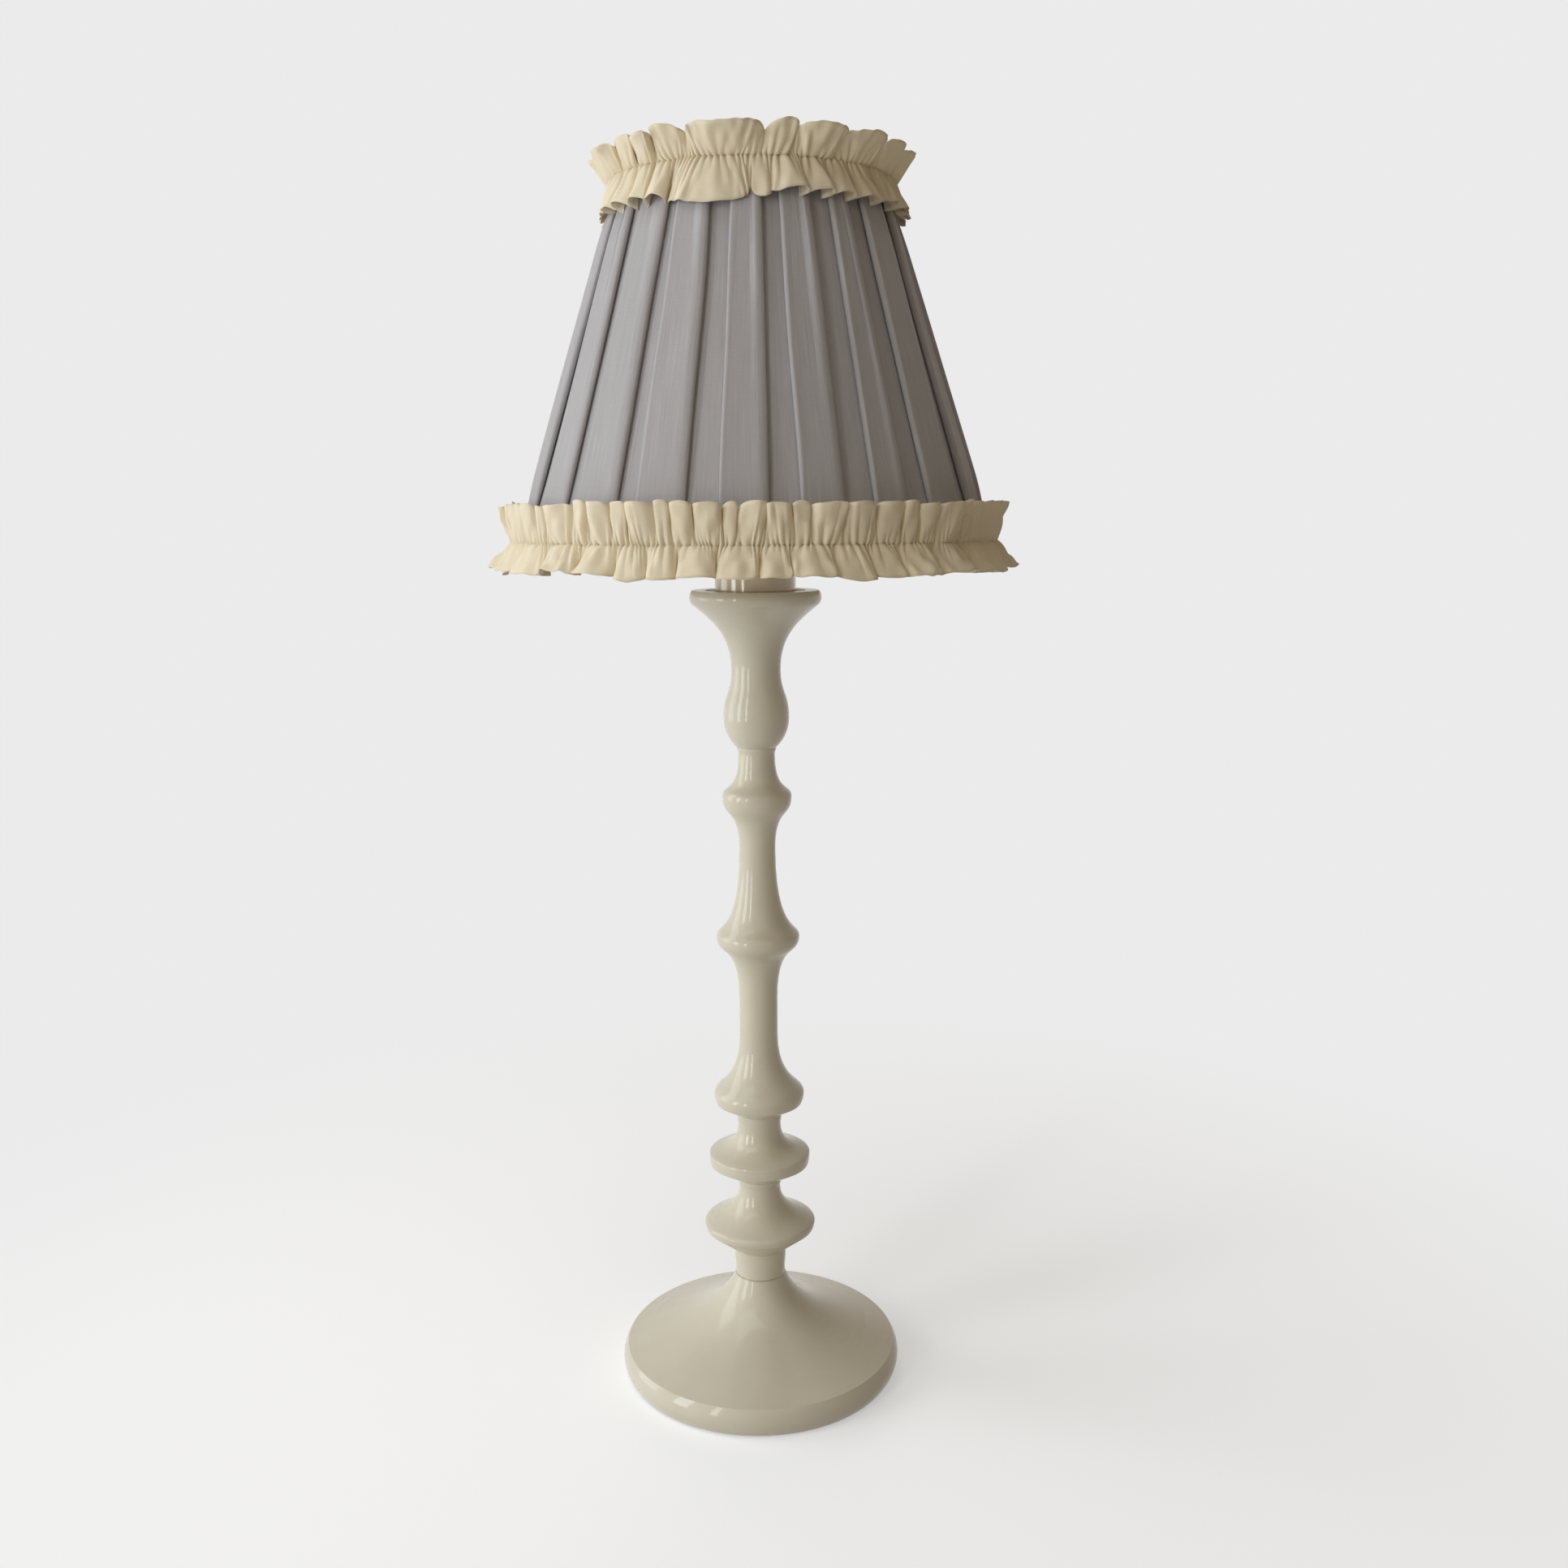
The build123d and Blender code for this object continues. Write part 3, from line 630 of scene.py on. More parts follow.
# %% Metals
def metal(name, bright, dull, wear, grain):
    """Turned or drawn metal: bright, duller where it is worn, with fine lines around the axis."""
    made = Finish(name, {"Metallic": 1.0})
    spot = made.place()
    cloudy = made.noise(spot, 220, 4)
    lines = made.streaks(spot, 90, 90, grain)
    worn = made.ramp(cloudy, 0.45, 0.75)
    made.feed("Base Color", made.mixed(worn * wear, bright, dull))
    made.feed("Roughness", 0.26 + worn * 0.10 + lines * 0.06)
    made.bumped(lines, 0.004 * MM)
    return made


brass = metal("satin_brass", colour(182, 150, 92), colour(146, 114, 66), wear=0.6, grain=2600)
steel = metal("zinc_steel", colour(186, 188, 190), colour(128, 130, 132), wear=0.8, grain=2200)
iron = metal("cast_iron", colour(74, 72, 70), colour(96, 62, 42), wear=0.9, grain=300)
brass_pieces = ["candle_cup", "nozzle_cap", "carrier_collar", "gallery_ring", "bayonet_pins"]
brass_pieces += [f"carrier_arm_{k}" for k in (1, 2, 3)]
steel_pieces = ["foot_screw", "screw_washer", "tube_plug", "candle_follower"]
paint(brass, *brass_pieces)
paint(steel, *steel_pieces)
paint(iron, "foot_weight")
print("brass on", len(brass_pieces), "pieces, steel on", len(steel_pieces), "and iron on the weight")

# %% Coated wire of the shade's frame
coated = Finish("white_coated_wire", {"IOR": 1.48})
spot = coated.place()
chips = coated.ramp(coated.noise(spot, 300, 3), 0.60, 0.78)
coated.feed("Base Color", coated.mixed(chips, colour(226, 222, 210), colour(190, 182, 166)))
coated.feed("Roughness", 0.34 + chips * 0.3)
coated.bumped(coated.noise(spot, 900, 2), 0.05 * MM)
wires = ["top_ring", "bottom_ring", "fitter_ring"]
wires += [f"fitter_arm_{k}" for k in (1, 2, 3)]
wires += [f"strut_{k}" for k in range(1, 9)]
paint(coated, *wires)
print("coated wire on", len(wires), "pieces")

# %% Wax, wick and felt
CHARRED = 6 * MM
# Turns of the wick's braid, in radians to the metre up it and across it
BRAID_UP = 5200
BRAID_ACROSS = 4000

wax = Finish("ivory_wax", {"Subsurface Weight": 0.25, "Subsurface Scale": 0.004, "IOR": 1.44})
spot = wax.place()
milky = wax.noise(spot, 90, 3)
wax.feed("Base Color", wax.mixed(milky, colour(240, 230, 204), colour(226, 210, 174)))
wax.feed("Roughness", 0.35 + milky * 0.2)
wax.bumped(wax.streaks(spot, 300, 300, 60), 0.15 * MM)
paint(wax, "candle")

wick = Finish("braided_wick", {"Roughness": 0.95})
spot = wick.place()
height = wick.part(spot, "Z")
wick_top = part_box("wick")[1].z
char = wick.node("ShaderNodeMapRange", {},
                 {"Value": height, "From Min": wick_top - CHARRED, "From Max": wick_top})
braid = wick.sine(height * BRAID_UP + wick.part(spot, "X") * BRAID_ACROSS)
wick.feed("Base Color", wick.mixed(char, colour(214, 202, 178), colour(34, 28, 24)))
wick.bumped(braid * 0.5 + 0.5, 0.2 * MM)
paint(wick, "wick")

felt = Finish("wool_felt", {"Roughness": 1.0, "Sheen Weight": 0.4, "Sheen Roughness": 0.6})
fluff = felt.noise(felt.place(), 1600, 4)
felt.feed("Base Color", felt.mixed(fluff, colour(150, 140, 120), colour(182, 172, 150)))
felt.bumped(fluff, 0.5 * MM)
paint(felt, "felt_pad")
print("wax, wick and felt; the wick is charred over", CHARRED, "m")

# %% [markdown]
# The feed spring
#
# Inside the tube a coil of steel wire pushes the candle up as it burns. Its end turns are closed, so that it
# stands square on the plug and under the candle's cup, and the turns between are open. A round wire swept
# along a helix is enough, and the same helper lays sewing threads later. The spring shortens when the candle
# is pushed down, and the share of its length that is left when fully pressed is worked out from that joint.

# %% Round threads and wires
# Share of its radius that a thread keeps at its two ends
THREAD_END = 0.05
# A direction that no thread follows, to set out the sides of a thread from
ASKEW = (0.31, 0.17, 0.94)


def thread_piece(name, paths, radius, finish, sides=6):
    """Round threads along paths[thread, point], drawn in at both ends, all in one piece."""
    threads, count = paths.shape[:2]
    ahead = np.gradient(paths, axis=1)
    ahead /= np.linalg.norm(ahead, axis=2, keepdims=True)
    side = np.cross(ahead, ASKEW)
    side /= np.linalg.norm(side, axis=2, keepdims=True)
    other = np.cross(ahead, side)
    turn = np.linspace(0, 2 * np.pi, sides, endpoint=False)[None, None, :, None]
    ends = np.ones(count)
    ends[[0, -1]] = THREAD_END
    ring = side[:, :, None] * np.cos(turn) + other[:, :, None] * np.sin(turn)
    points = paths[:, :, None] + radius * ends[None, :, None, None] * ring
    thread, step, edge = np.meshgrid(
        np.arange(threads), np.arange(count - 1), np.arange(sides), indexing="ij")
    first = (thread * count + step) * sides
    after = (edge + 1) % sides
    faces = np.stack([first + edge, first + after, first + sides + after, first + sides + edge], axis=-1)
    mesh = bpy.data.meshes.new(name)
    mesh.from_pydata(points.reshape(-1, 3).tolist(), [], faces.reshape(-1, 4).tolist())
    return finished(mesh, finish)


print("thread helper ready")

# %% Feed spring
SPRING_WIRE = 0.55 * MM
SPRING_TURNS = 6.5
CLOSED_TURNS = 1.0
CLOSED_RISE = 2.1 * SPRING_WIRE
SPRING_POINTS = 320

spring_low, spring_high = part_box("feed_spring")
spring_r = spring_high.x - SPRING_WIRE
spring_length = spring_high.z - spring_low.z - 2 * SPRING_WIRE
turned = np.linspace(0, SPRING_TURNS, SPRING_POINTS)
rise = np.interp(turned, [0, CLOSED_TURNS, SPRING_TURNS - CLOSED_TURNS, SPRING_TURNS],
                 [0, CLOSED_RISE, spring_length - CLOSED_RISE, spring_length])
coil_line = around_axis(spring_r, 2 * np.pi * turned, spring_low.z + SPRING_WIRE + rise)
spring = thread_piece("coil_spring", coil_line[None], SPRING_WIRE, steel, sides=10)
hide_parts("feed_spring")
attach(spring, "lamp_tube")
feed = next(j for j in frame["joints"] if j["name"] == "candle_feed")
spring_foot = spring_low.z
pressed = 1 + feed["range_m"][0] / (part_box("candle_follower")[0].z - spring_foot)
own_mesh(spring)
print("spring", round(spring_length / MM, 1), "mm long at rest,", round(pressed, 2), "of that when pressed")

# %% [markdown]
# Cloth meshes
#
# A sheet of cloth is a grid of points, rows up the cloth and columns along it. Two things make it read as
# cloth: a real thickness, which the Solidify modifier gives, and a map of where each point was on the flat
# cut, so that the weave keeps its size however the cloth is folded. The helper below makes both.

# %% Cloth from a grid of points
def cloth_piece(name, points, flat, finish, thickness):
    """A cloth from points[row, column]. flat is its grid on the flat cut, one longer where it closes."""
    rows, columns = points.shape[:2]
    row, column = np.meshgrid(np.arange(flat.shape[0] - 1), np.arange(flat.shape[1] - 1), indexing="ij")
    corner_rows = np.stack([row, row, row + 1, row + 1], axis=-1).reshape(-1, 4)
    corner_columns = np.stack([column, column + 1, column + 1, column], axis=-1).reshape(-1, 4)
    faces = corner_rows % rows * columns + corner_columns % columns
    mesh = bpy.data.meshes.new(name)
    mesh.from_pydata(points.reshape(-1, 3).tolist(), [], faces.tolist())
    cut = mesh.uv_layers.new(name="cloth")
    cut.uv.foreach_set("vector", flat[corner_rows, corner_columns].astype(np.float32).ravel())
    piece = finished(mesh, finish)
    solid = piece.modifiers.new("cloth thickness", "SOLIDIFY")
    solid.thickness = thickness
    solid.offset = 0
    return piece


def flat_grid(along, across):
    """The flat cut, from lengths along it and across it."""
    return np.stack(np.broadcast_arrays(along, across), axis=-1)


def running_length(points):
    """Length along each row from its first point, starting at zero."""
    steps = np.linalg.norm(np.diff(points, axis=1), axis=2)
    return np.concatenate([np.zeros((len(points), 1)), np.cumsum(steps, axis=1)], axis=1)


def eased(share):
    """From 0 to 1 with a soft start and end, and level beyond them."""
    share = np.clip(share, 0, 1)
    return share * share * (3 - 2 * share)


print("cloth helper ready")

# %% [markdown]
# Grey slubbed silk
#
# The cover is a fine silk in grey lavender. Its threads are uneven: thick places, called slubs, run a few
# centimetres along a thread and catch the light. They are painted lighter, partly for their thicker yarn and
# partly as a painted sheen. The cloth map is in metres, so drawn-out noise gives slubs of a real length, and
# two crossed sines give the weave itself.

# %% Silk finish
SILK_THREAD = 0.42 * MM

silk = Finish("grey_slubbed_silk",
              {"Sheen Weight": 0.35, "Sheen Roughness": 0.45, "Specular IOR Level": 0.25})
flat = silk.cloth()
slub = silk.streaks(flat, 1900, 42, 1, detail=3)
cross_slub = silk.streaks(flat, 60, 2300, 1)
cloudy = silk.streaks(flat, 60, 9, 1)
weave = silk.woven(flat, SILK_THREAD)
# Thick slubs are painted lighter, partly for their thicker yarn and partly as a painted sheen
slub_yarn_and_sheen = silk.ramp(slub, 0.56, 0.74)
thin = 1 - silk.ramp(slub, 0.28, 0.44)
tone = silk.mixed(cloudy, colour(169, 166, 168), colour(186, 183, 185))
tone = silk.mixed(slub_yarn_and_sheen * 0.5, tone, colour(206, 203, 203))
tone = silk.mixed(thin * 0.35, tone, colour(150, 146, 150))
silk.feed("Base Color", tone)
silk.feed("Roughness", 0.62 + cross_slub * 0.25)
silk.bumped(weave * 0.16 + slub * 0.5 + cross_slub * 0.3, 0.22 * MM)
print("silk woven at", round(MM / SILK_THREAD, 1), "threads to the millimetre")

# %% [markdown]
# The pleated cover
#
# A box pleat is a strip of cloth that stands on top of its neighbours with both edges folded under. It could
# be faked with a stepped cone, but the fold is what catches the light: the cloth runs under the raised strip,
# turns, and comes back over itself in a rounded edge. So the section below walks the real path of the cloth
# around the shade, and the rows of the mesh repeat it from the bottom ring to the top one. The pleats narrow
# upwards with the cone. At the rings they are sewn flat, and between them they stand fuller.

# %% Path of the cloth through one box pleat
PLEATS = 20
PLEAT_PHASE = -7.7
PLEAT_SHARE = 0.6
PLEAT_RISE = 1.25 * MM
PLEAT_FLANK = math.radians(1.2)
FACE_DIP = 0.08
COVER_T = 0.3 * MM
COVER_OUT = 1.95 * MM
# Where points lie on a raised face and in a recess, as shares of its width
FACE_PLACES = np.linspace(0.25, 0.7, 5)
RECESS_PLACES = np.linspace(0.3, 0.7, 3)
# Hand-folded pleats are uneven: start and width, in degrees off the even pattern, of those around the front
EVEN = (0.0, 0.0)
UNEVEN = {16: (-2.0, 1.5), 18: (-1.7, 1.6), 19: (-2.1, 1.2), 1: (-0.1, -0.1), 2: (0.6, -1.9), 3: (-1.2, 2.6)}
# Steps along the cloth and outwards, in millimetres, from the recess into a fold and out on the raised face
TUCK = [
    (-0.8, 0.0), (-0.1, 0.02), (0.9, 0.04), (1.9, 0.05), (2.2, 0.19), (1.9, 0.33), (0.9, 0.36), (0.3, 0.40)]
CRISP_EDGE = TUCK + [
    (0.03, 0.50), (-0.10, 0.72), (-0.06, 0.98), (0.16, 1.22), (0.5, 1.32), (1.0, 1.28), (1.8, 1.22)]
SOFT_EDGE = TUCK + [
    (0.10, 0.46), (-0.02, 0.60), (0.02, 0.80), (0.30, 0.97), (0.85, 1.10), (1.8, 1.20), (3.2, 1.25)]


def cover_path():
    """The whole section: angle of each point, then its steps along the cloth and outwards."""
    pitch = 360.0 / PLEATS
    path = []
    faces = []
    for k in range(PLEATS):
        nudge, wider = UNEVEN.get(k, EVEN)
        start = PLEAT_PHASE + k * pitch + nudge
        end = start + PLEAT_SHARE * pitch + wider
        next_start = PLEAT_PHASE + (k + 1) * pitch + UNEVEN.get((k + 1) % PLEATS, EVEN)[0]
        path += [(start, along * MM, out * MM) for along, out in CRISP_EDGE]
        for t in FACE_PLACES:
            dip = 1.0 - FACE_DIP * math.sin(math.pi * t)
            path.append((start + (end - start) * t, 0.0, PLEAT_RISE * dip))
        path += [(end, -along * MM, out * MM) for along, out in reversed(SOFT_EDGE)]
        path += [(end + (next_start - end) * t, 0.0, 0.0) for t in RECESS_PLACES]
        faces.append((start, end))
    angle, along, out = np.array(path).T
    return (FRONT + np.radians(angle), along, out), FRONT + np.radians(np.array(faces))


section, pleat_faces = cover_path()


def standing(angle):
    """How far the pleats stand out at the rings, at an angle: nothing in the recesses."""
    off = (angle[..., None] - pleat_faces.mean(axis=1) + np.pi) % (2 * np.pi) - np.pi
    inside = (np.diff(pleat_faces, axis=1)[:, 0] / 2 - np.abs(off)).max(axis=-1)
    return PLEAT_RISE * np.clip(1 + inside / PLEAT_FLANK, 0, 1)


print(PLEATS, "box pleats,", len(section[0]), "points around the section")

# %% The cover's mesh
COVER_ROWS = 61
COVER_OVERHANG = 1.3 * MM
# Between the rings the pleats rise by this share more and the recesses sink by this much. The seams hold both
# flat at the rings, and let go over this share of the height.
FULLER = 1.15
SUNK = 0.5 * MM
SEWN_FLAT = 0.2
WANDER = 0.3 * MM
PUFF = 0.10
cover_rng = np.random.default_rng(11)


def slow_noise(rng, count, waves, places):
    """Smooth uneven curves, one for each of count, at places from 0 to 1."""
    sizes = rng.normal(size=(count, waves)) / np.arange(1, waves + 1)
    phases = rng.uniform(0, 2 * np.pi, size=(count, waves))
    turns = np.pi * np.arange(1, waves + 1)
    return (sizes[:, None, :] * np.sin(places[None, :, None] * turns + phases[:, None, :])).sum(axis=2)


def cover_points():
    """The section on every row, with edges that wander and faces that puff out unevenly."""
    angle, along, out = section
    up = np.linspace(0, 1, COVER_ROWS)
    z = bottom_z - COVER_OVERHANG + up * (top_z - bottom_z + 2 * COVER_OVERHANG)
    per_pleat = len(angle) // PLEATS
    pleat = np.arange(len(angle)) // per_pleat
    first_half = np.arange(len(angle)) % per_pleat < per_pleat // 2
    edge_wander = slow_noise(cover_rng, 2 * PLEATS, 4, up) * WANDER
    wander = edge_wander[2 * pleat + np.where(first_half, 0, 1)].T
    puff = slow_noise(cover_rng, PLEATS, 3, up)[pleat].T * PUFF
    loose = eased(np.minimum(up, 1 - up) / SEWN_FLAT)[:, None]
    recess_r = frame_r(z)[:, None] + COVER_OUT - SUNK * loose
    radius = recess_r + out[None, :] * (1 + puff) * (1 + FULLER * loose)
    turn_by = (along[None, :] + wander) / radius
    return around_axis(radius, angle[None, :] + turn_by, z[:, None])


cover_grid = cover_points()
looped = np.concatenate([cover_grid, cover_grid[:, :1]], axis=1)
middle_length = running_length(looped)[COVER_ROWS // 2]
cover_up = np.linspace(0, slant, COVER_ROWS)
cover_flat = flat_grid(middle_length[None, :], cover_up[:, None])
cover = cloth_piece("silk_cover", cover_grid, cover_flat, silk, COVER_T)
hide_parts("pleated_cover")
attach(cover, "shade")

# %% [markdown]
# Lining
#
# Inside, a pale cotton lining is stretched smooth over the frame, so that the wires and the backs of the
# pleats don't show. It is a plain cone, apart from fine puckers where it is sewn to the rings. Frills and
# lining are both cotton in a plain weave, so one function makes the finish and takes the colours and the
# thread.

# %% Cotton finish
def cotton(name, light, shade, thread, sheen):
    """Plain woven cotton with a slightly uneven thread and a soft nap."""
    made = Finish(name, {"Sheen Weight": sheen, "Sheen Roughness": 0.5, "Specular IOR Level": 0.2})
    flat = made.cloth()
    weave = made.woven(flat, thread)
    uneven = made.streaks(flat, 120, 2200, 1)
    cloudy = made.noise(flat, 60, 3)
    made.feed("Base Color", made.mixed(cloudy * 0.6 + uneven * 0.3, light, shade))
    made.feed("Roughness", 0.72 + uneven * 0.2)
    made.bumped(weave * 0.25 + uneven * 0.5, 0.12 * MM)
    return made


lining_cotton = cotton("lining_cotton", colour(238, 232, 218), colour(222, 213, 194), 0.4 * MM, sheen=0.1)
print("lining cotton ready")

# %% Lining
LINING_T = 0.4 * MM
LINING_IN = 1.85 * MM
LINING_COLUMNS = 192
LINING_ROWS = 15
LINING_PUCKERS = 48
PUCKER_DEPTH = 0.12 * MM


def lining_points():
    """A cone inside the wires, puckered close to both rings."""
    up = np.linspace(0, 1, LINING_ROWS)
    z = bottom_z + LINING_IN + up * (top_z - bottom_z - 2 * LINING_IN)
    angle = np.linspace(0, 2 * np.pi, LINING_COLUMNS, endpoint=False)
    near_ring = (2 * up - 1) ** 6
    puckers = PUCKER_DEPTH * np.sin(LINING_PUCKERS * angle)[None, :] * near_ring[:, None]
    radius = frame_r(z)[:, None] - LINING_IN + puckers
    return around_axis(radius, angle[None, :], z[:, None])


lining_round = np.linspace(0, math.pi * (top_r + bottom_r - 2 * LINING_IN), LINING_COLUMNS + 1)
lining_up = np.linspace(0, slant, LINING_ROWS)
lining_flat = flat_grid(lining_round[None, :], lining_up[:, None])
lining = cloth_piece("cotton_lining", lining_points(), lining_flat, lining_cotton, LINING_T)
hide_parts("lining")
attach(lining, "shade")

# %% [markdown]
# Gathered frills
#
# A frill is a straight strip, nearly twice as long as the ring it goes round, gathered on a thread along its
# middle. At the thread it is crushed into fine puckers. Away from it the puckers run together into wide
# folds, which stand up above the thread and flare out below it. A sine wave all the way round would look like
# a pie crust, so each fold has its own width, depth and lean, and the puckers are sized until the cloth at
# the thread is as long as its free edges. A cloth simulation would find such folds too, but it crumples a
# strip this narrow, and the folds here can be placed.

# %% Cream lawn finish
lawn = cotton("cream_lawn", colour(243, 230, 204), colour(234, 218, 186), 0.36 * MM, sheen=0.08)
lawn.shader.inputs["Subsurface Weight"].default_value = 0.2
lawn.shader.inputs["Subsurface Radius"].default_value = (1.0, 0.9, 0.75)
lawn.shader.inputs["Subsurface Scale"].default_value = 1.2 * MM
print("cream lawn ready")

# %% Uneven folds
FOLD_WIDTHS = [0.6, 1.0, 1.0, 1.5]
FOLD_DRIFT = 1.1 * MM


def fold_edges(rng, count, chosen=()):
    """Angles of the valleys between folds, from the back round. Chosen ones are in degrees off the front."""
    widths = rng.choice(FOLD_WIDTHS, count) * rng.uniform(0.85, 1.15, count)
    edges = np.concatenate([[0], np.cumsum(widths)]) * 2 * np.pi / widths.sum()
    if len(chosen):
        picked = np.radians(np.array(chosen)) + np.pi
        spare = np.pi / count
        edges = np.concatenate([edges[edges < picked[0] - spare], picked, edges[edges > picked[-1] + spare]])
    return edges


class Half:
    """One free half of a frill, above or below its thread, with the shape of each of its folds."""

    def __init__(self, rng, edges, height, flare, wave, lean, ragged, arch):
        self.edges = edges
        self.height = height
        self.flare = flare
        self.width = np.diff(edges)
        self.middles = (edges[1:] + edges[:-1]) / 2
        folds = len(self.width)
        self.depth = wave * rng.uniform(0.75, 1.25, folds) * (self.width / self.width.mean()) ** 0.7
        self.lean = lean * (0.5 - np.sin(self.middles)) + 0.35 * rng.normal(size=folds)
        self.lift = ragged * height * np.clip(rng.normal(size=folds), -1.2, 0.8)
        self.tall = 1 + 0.35 * ragged * rng.normal(size=folds)
        self.roll = rng.uniform(0.12, 0.24, folds)
        self.drift = FOLD_DRIFT * rng.normal(size=folds)
        self.arch = arch * rng.uniform(0.7, 1.3, folds)

    def shape(self, degrees, **values):
        """Gives the fold at an angle off the front values of its own."""
        fold = np.searchsorted(self.edges, math.radians(degrees) + math.pi) - 1
        for name, value in values.items():
            getattr(self, name)[fold] = value

    def at(self, angle, values):
        """A value of each fold, read smoothly at any angle."""
        return np.interp(angle % (2 * np.pi), self.middles, values, period=2 * np.pi)

    def phase(self, angle):
        """Half turns of fold before an angle: whole ones in the valleys."""
        return np.pi * np.interp(angle % (2 * np.pi), self.edges, np.arange(len(self.edges)))


print("uneven folds ready")

# %% One half of a gathered strip
HALF_ROWS = 11
# Rows lie closer near the thread, and folds open away from it
ROW_SPREAD = 1.3
SHUT = 0.06
OPENING = 0.85
# Cloth stands off the thread by the pinch, within this share of the half
PINCH = 0.8 * MM
PINCH_REACH = 0.12
FLARE_CURVE = 1.3
ROUND_CREST = 0.8
STEEPEST = 0.35
# Close to a ring the pleats stand out by up to this many times their rise. A frill leaves room for the binding
# on them, and this far below the bottom ring it has the cover above it.
PUFFED = 1.12
BINDING_ROOM = 0.6 * MM
COVER_END = 2.2 * MM


def pleat_tops(z, angle):
    """Radius that clears the pleats close to a ring."""
    return frame_r(z) + COVER_OUT + PUFFED * standing(angle)


def half_rows(half, sign, thread_r, thread_z, angle, crush, fade, lap, rumpled):
    """Rows of one half, from the thread to the free edge, kept outside of the pleats and the binding."""
    phase = half.phase(angle)
    depth, lean, lift, tall, roll, width, drift, arch = (half.at(angle, v) for v in (
        half.depth, half.lean, half.lift, half.tall, half.roll, half.width, half.drift, half.arch))
    crest = depth * (2 * np.abs(np.sin(phase)) ** ROUND_CREST - 1)
    rolled = -roll * width * thread_r * np.sin(2 * phase)
    tall = tall * (1 + arch * (np.abs(np.sin(phase)) - 0.7))
    places = np.linspace(0, 1, HALF_ROWS + 1) ** ROW_SPREAD
    rows = []
    z = np.full_like(angle, thread_z)
    true_angle = FRONT + np.pi + angle
    for k, v in enumerate(places):
        opened = SHUT + (1 - SHUT) * v ** OPENING
        mean = PINCH * (1 - math.exp(-v / PINCH_REACH)) + half.flare * v ** FLARE_CURVE + lift * v * v
        smooth = thread_r + lap + mean + crest * opened + rumpled(v)
        if k:
            step = half.height * tall * (v - places[k - 1])
            z = z + sign * np.sqrt(np.maximum(step ** 2 - (smooth - last) ** 2, (STEEPEST * step) ** 2))
        last = smooth
        clear = np.where(z < bottom_z - COVER_END, bottom_r, pleat_tops(z, true_angle) + BINDING_ROOM)
        radius = np.maximum(smooth + crush * np.exp(-v / fade), clear)
        aside = (lean * crest + rolled) * opened + drift * v
        rows.append(around_axis(radius, true_angle + aside / radius, z))
    return np.array(rows)


print("a half has", HALF_ROWS, "rows")

# %% A gathered strip
FRILL_T = 0.2 * MM
FRILL_LAP = math.radians(6)
# The end of a strip rises over its start, from this many laps before the end, within this share of a lap
LAP_RISE = 1.0 * MM
LAP_START = 1.3
LAP_RAMP = 0.5
# Share of puckers that run far into the cloth, and how far the two kinds run, as shares of a half
LONG_SHARE = 0.35
LONG_PUCKER = (0.25, 0.5)
SHORT_PUCKER = (0.08, 0.18)
CREASES = 14
CREASE_DEPTH = 0.3 * MM
CREASE_TURNS = (40, 170)
CREASE_SLOPE = 5
# Depth of the puckers is searched for between these
SHALLOW, DEEP = 0.1 * MM, 1.3 * MM
HALVINGS = 14


def frill_points(rng, upper, lower, thread_r, thread_z, seam, columns, puckers):
    """The whole strip, from its lower free edge to its upper one, and the same grid on the flat cut."""
    along = np.linspace(0, 1, columns)
    angle = seam + along * (2 * np.pi + FRILL_LAP)
    turned = angle % (2 * np.pi)
    lap_share = FRILL_LAP / (2 * np.pi + FRILL_LAP)
    lap = LAP_RISE * eased((along - 1 + LAP_START * lap_share) / (LAP_RAMP * lap_share))
    valleys = fold_edges(rng, puckers)
    number = np.clip(np.searchsorted(valleys, turned, side="right") - 1, 0, puckers - 1)
    crease = np.abs(np.sin(np.pi * np.interp(turned, valleys, np.arange(len(valleys))))) * 2 - 1
    is_long = rng.random(puckers) < LONG_SHARE
    fade = np.where(is_long, rng.uniform(*LONG_PUCKER, puckers), rng.uniform(*SHORT_PUCKER, puckers))[number]
    waves = rng.integers(*CREASE_TURNS, CREASES)
    slopes = rng.normal(size=CREASES) * CREASE_SLOPE
    starts = rng.uniform(0, 2 * np.pi, CREASES)

    def rumpled(v):
        turns = waves[:, None] * angle + (slopes * v + starts)[:, None]
        grown = CREASE_DEPTH * math.sin(math.pi * min(1.0, 1.4 * v) / 2)
        return grown * np.sin(turns).sum(axis=0) / math.sqrt(CREASES)

    def both(size):
        crush = size * crease
        top = half_rows(upper, 1, thread_r, thread_z, angle, crush, fade, lap, rumpled)
        low = half_rows(lower, -1, thread_r, thread_z, angle, crush, fade, lap, rumpled)
        return np.concatenate([low[::-1], top[1:]])

    small, large = SHALLOW, DEEP
    for _ in range(HALVINGS):
        size = (small + large) / 2
        lengths = running_length(both(size))[:, -1]
        if lengths[HALF_ROWS] < (lengths[0] + lengths[-1]) / 2:
            small = size
        else:
            large = size
    points = both(size)
    lengths = running_length(points)
    low_edge, high_edge = (lengths[r] / lengths[r, -1] for r in (0, -1))
    cut_length = (lengths[0, -1] + lengths[-1, -1]) / 2
    v = np.abs(np.linspace(-1, 1, 2 * HALF_ROWS + 1))[:, None]
    edge = np.where(np.arange(len(points))[:, None] < HALF_ROWS, low_edge, high_edge)
    middle = (low_edge + high_edge)[None, :] / 2
    away = v ** ROW_SPREAD
    across = np.concatenate([-lower.height * away[:HALF_ROWS + 1], upper.height * away[HALF_ROWS + 1:]])
    flat = flat_grid(cut_length * (middle + (edge - middle) * v), across)
    return points, flat


def sew_on(piece, node):
    """Hands a frill over to the shade: hides the piece that it stands for and puts the frill on the shade's
    body.
    """
    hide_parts(node)
    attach(piece, "shade")


print("strip helper ready")

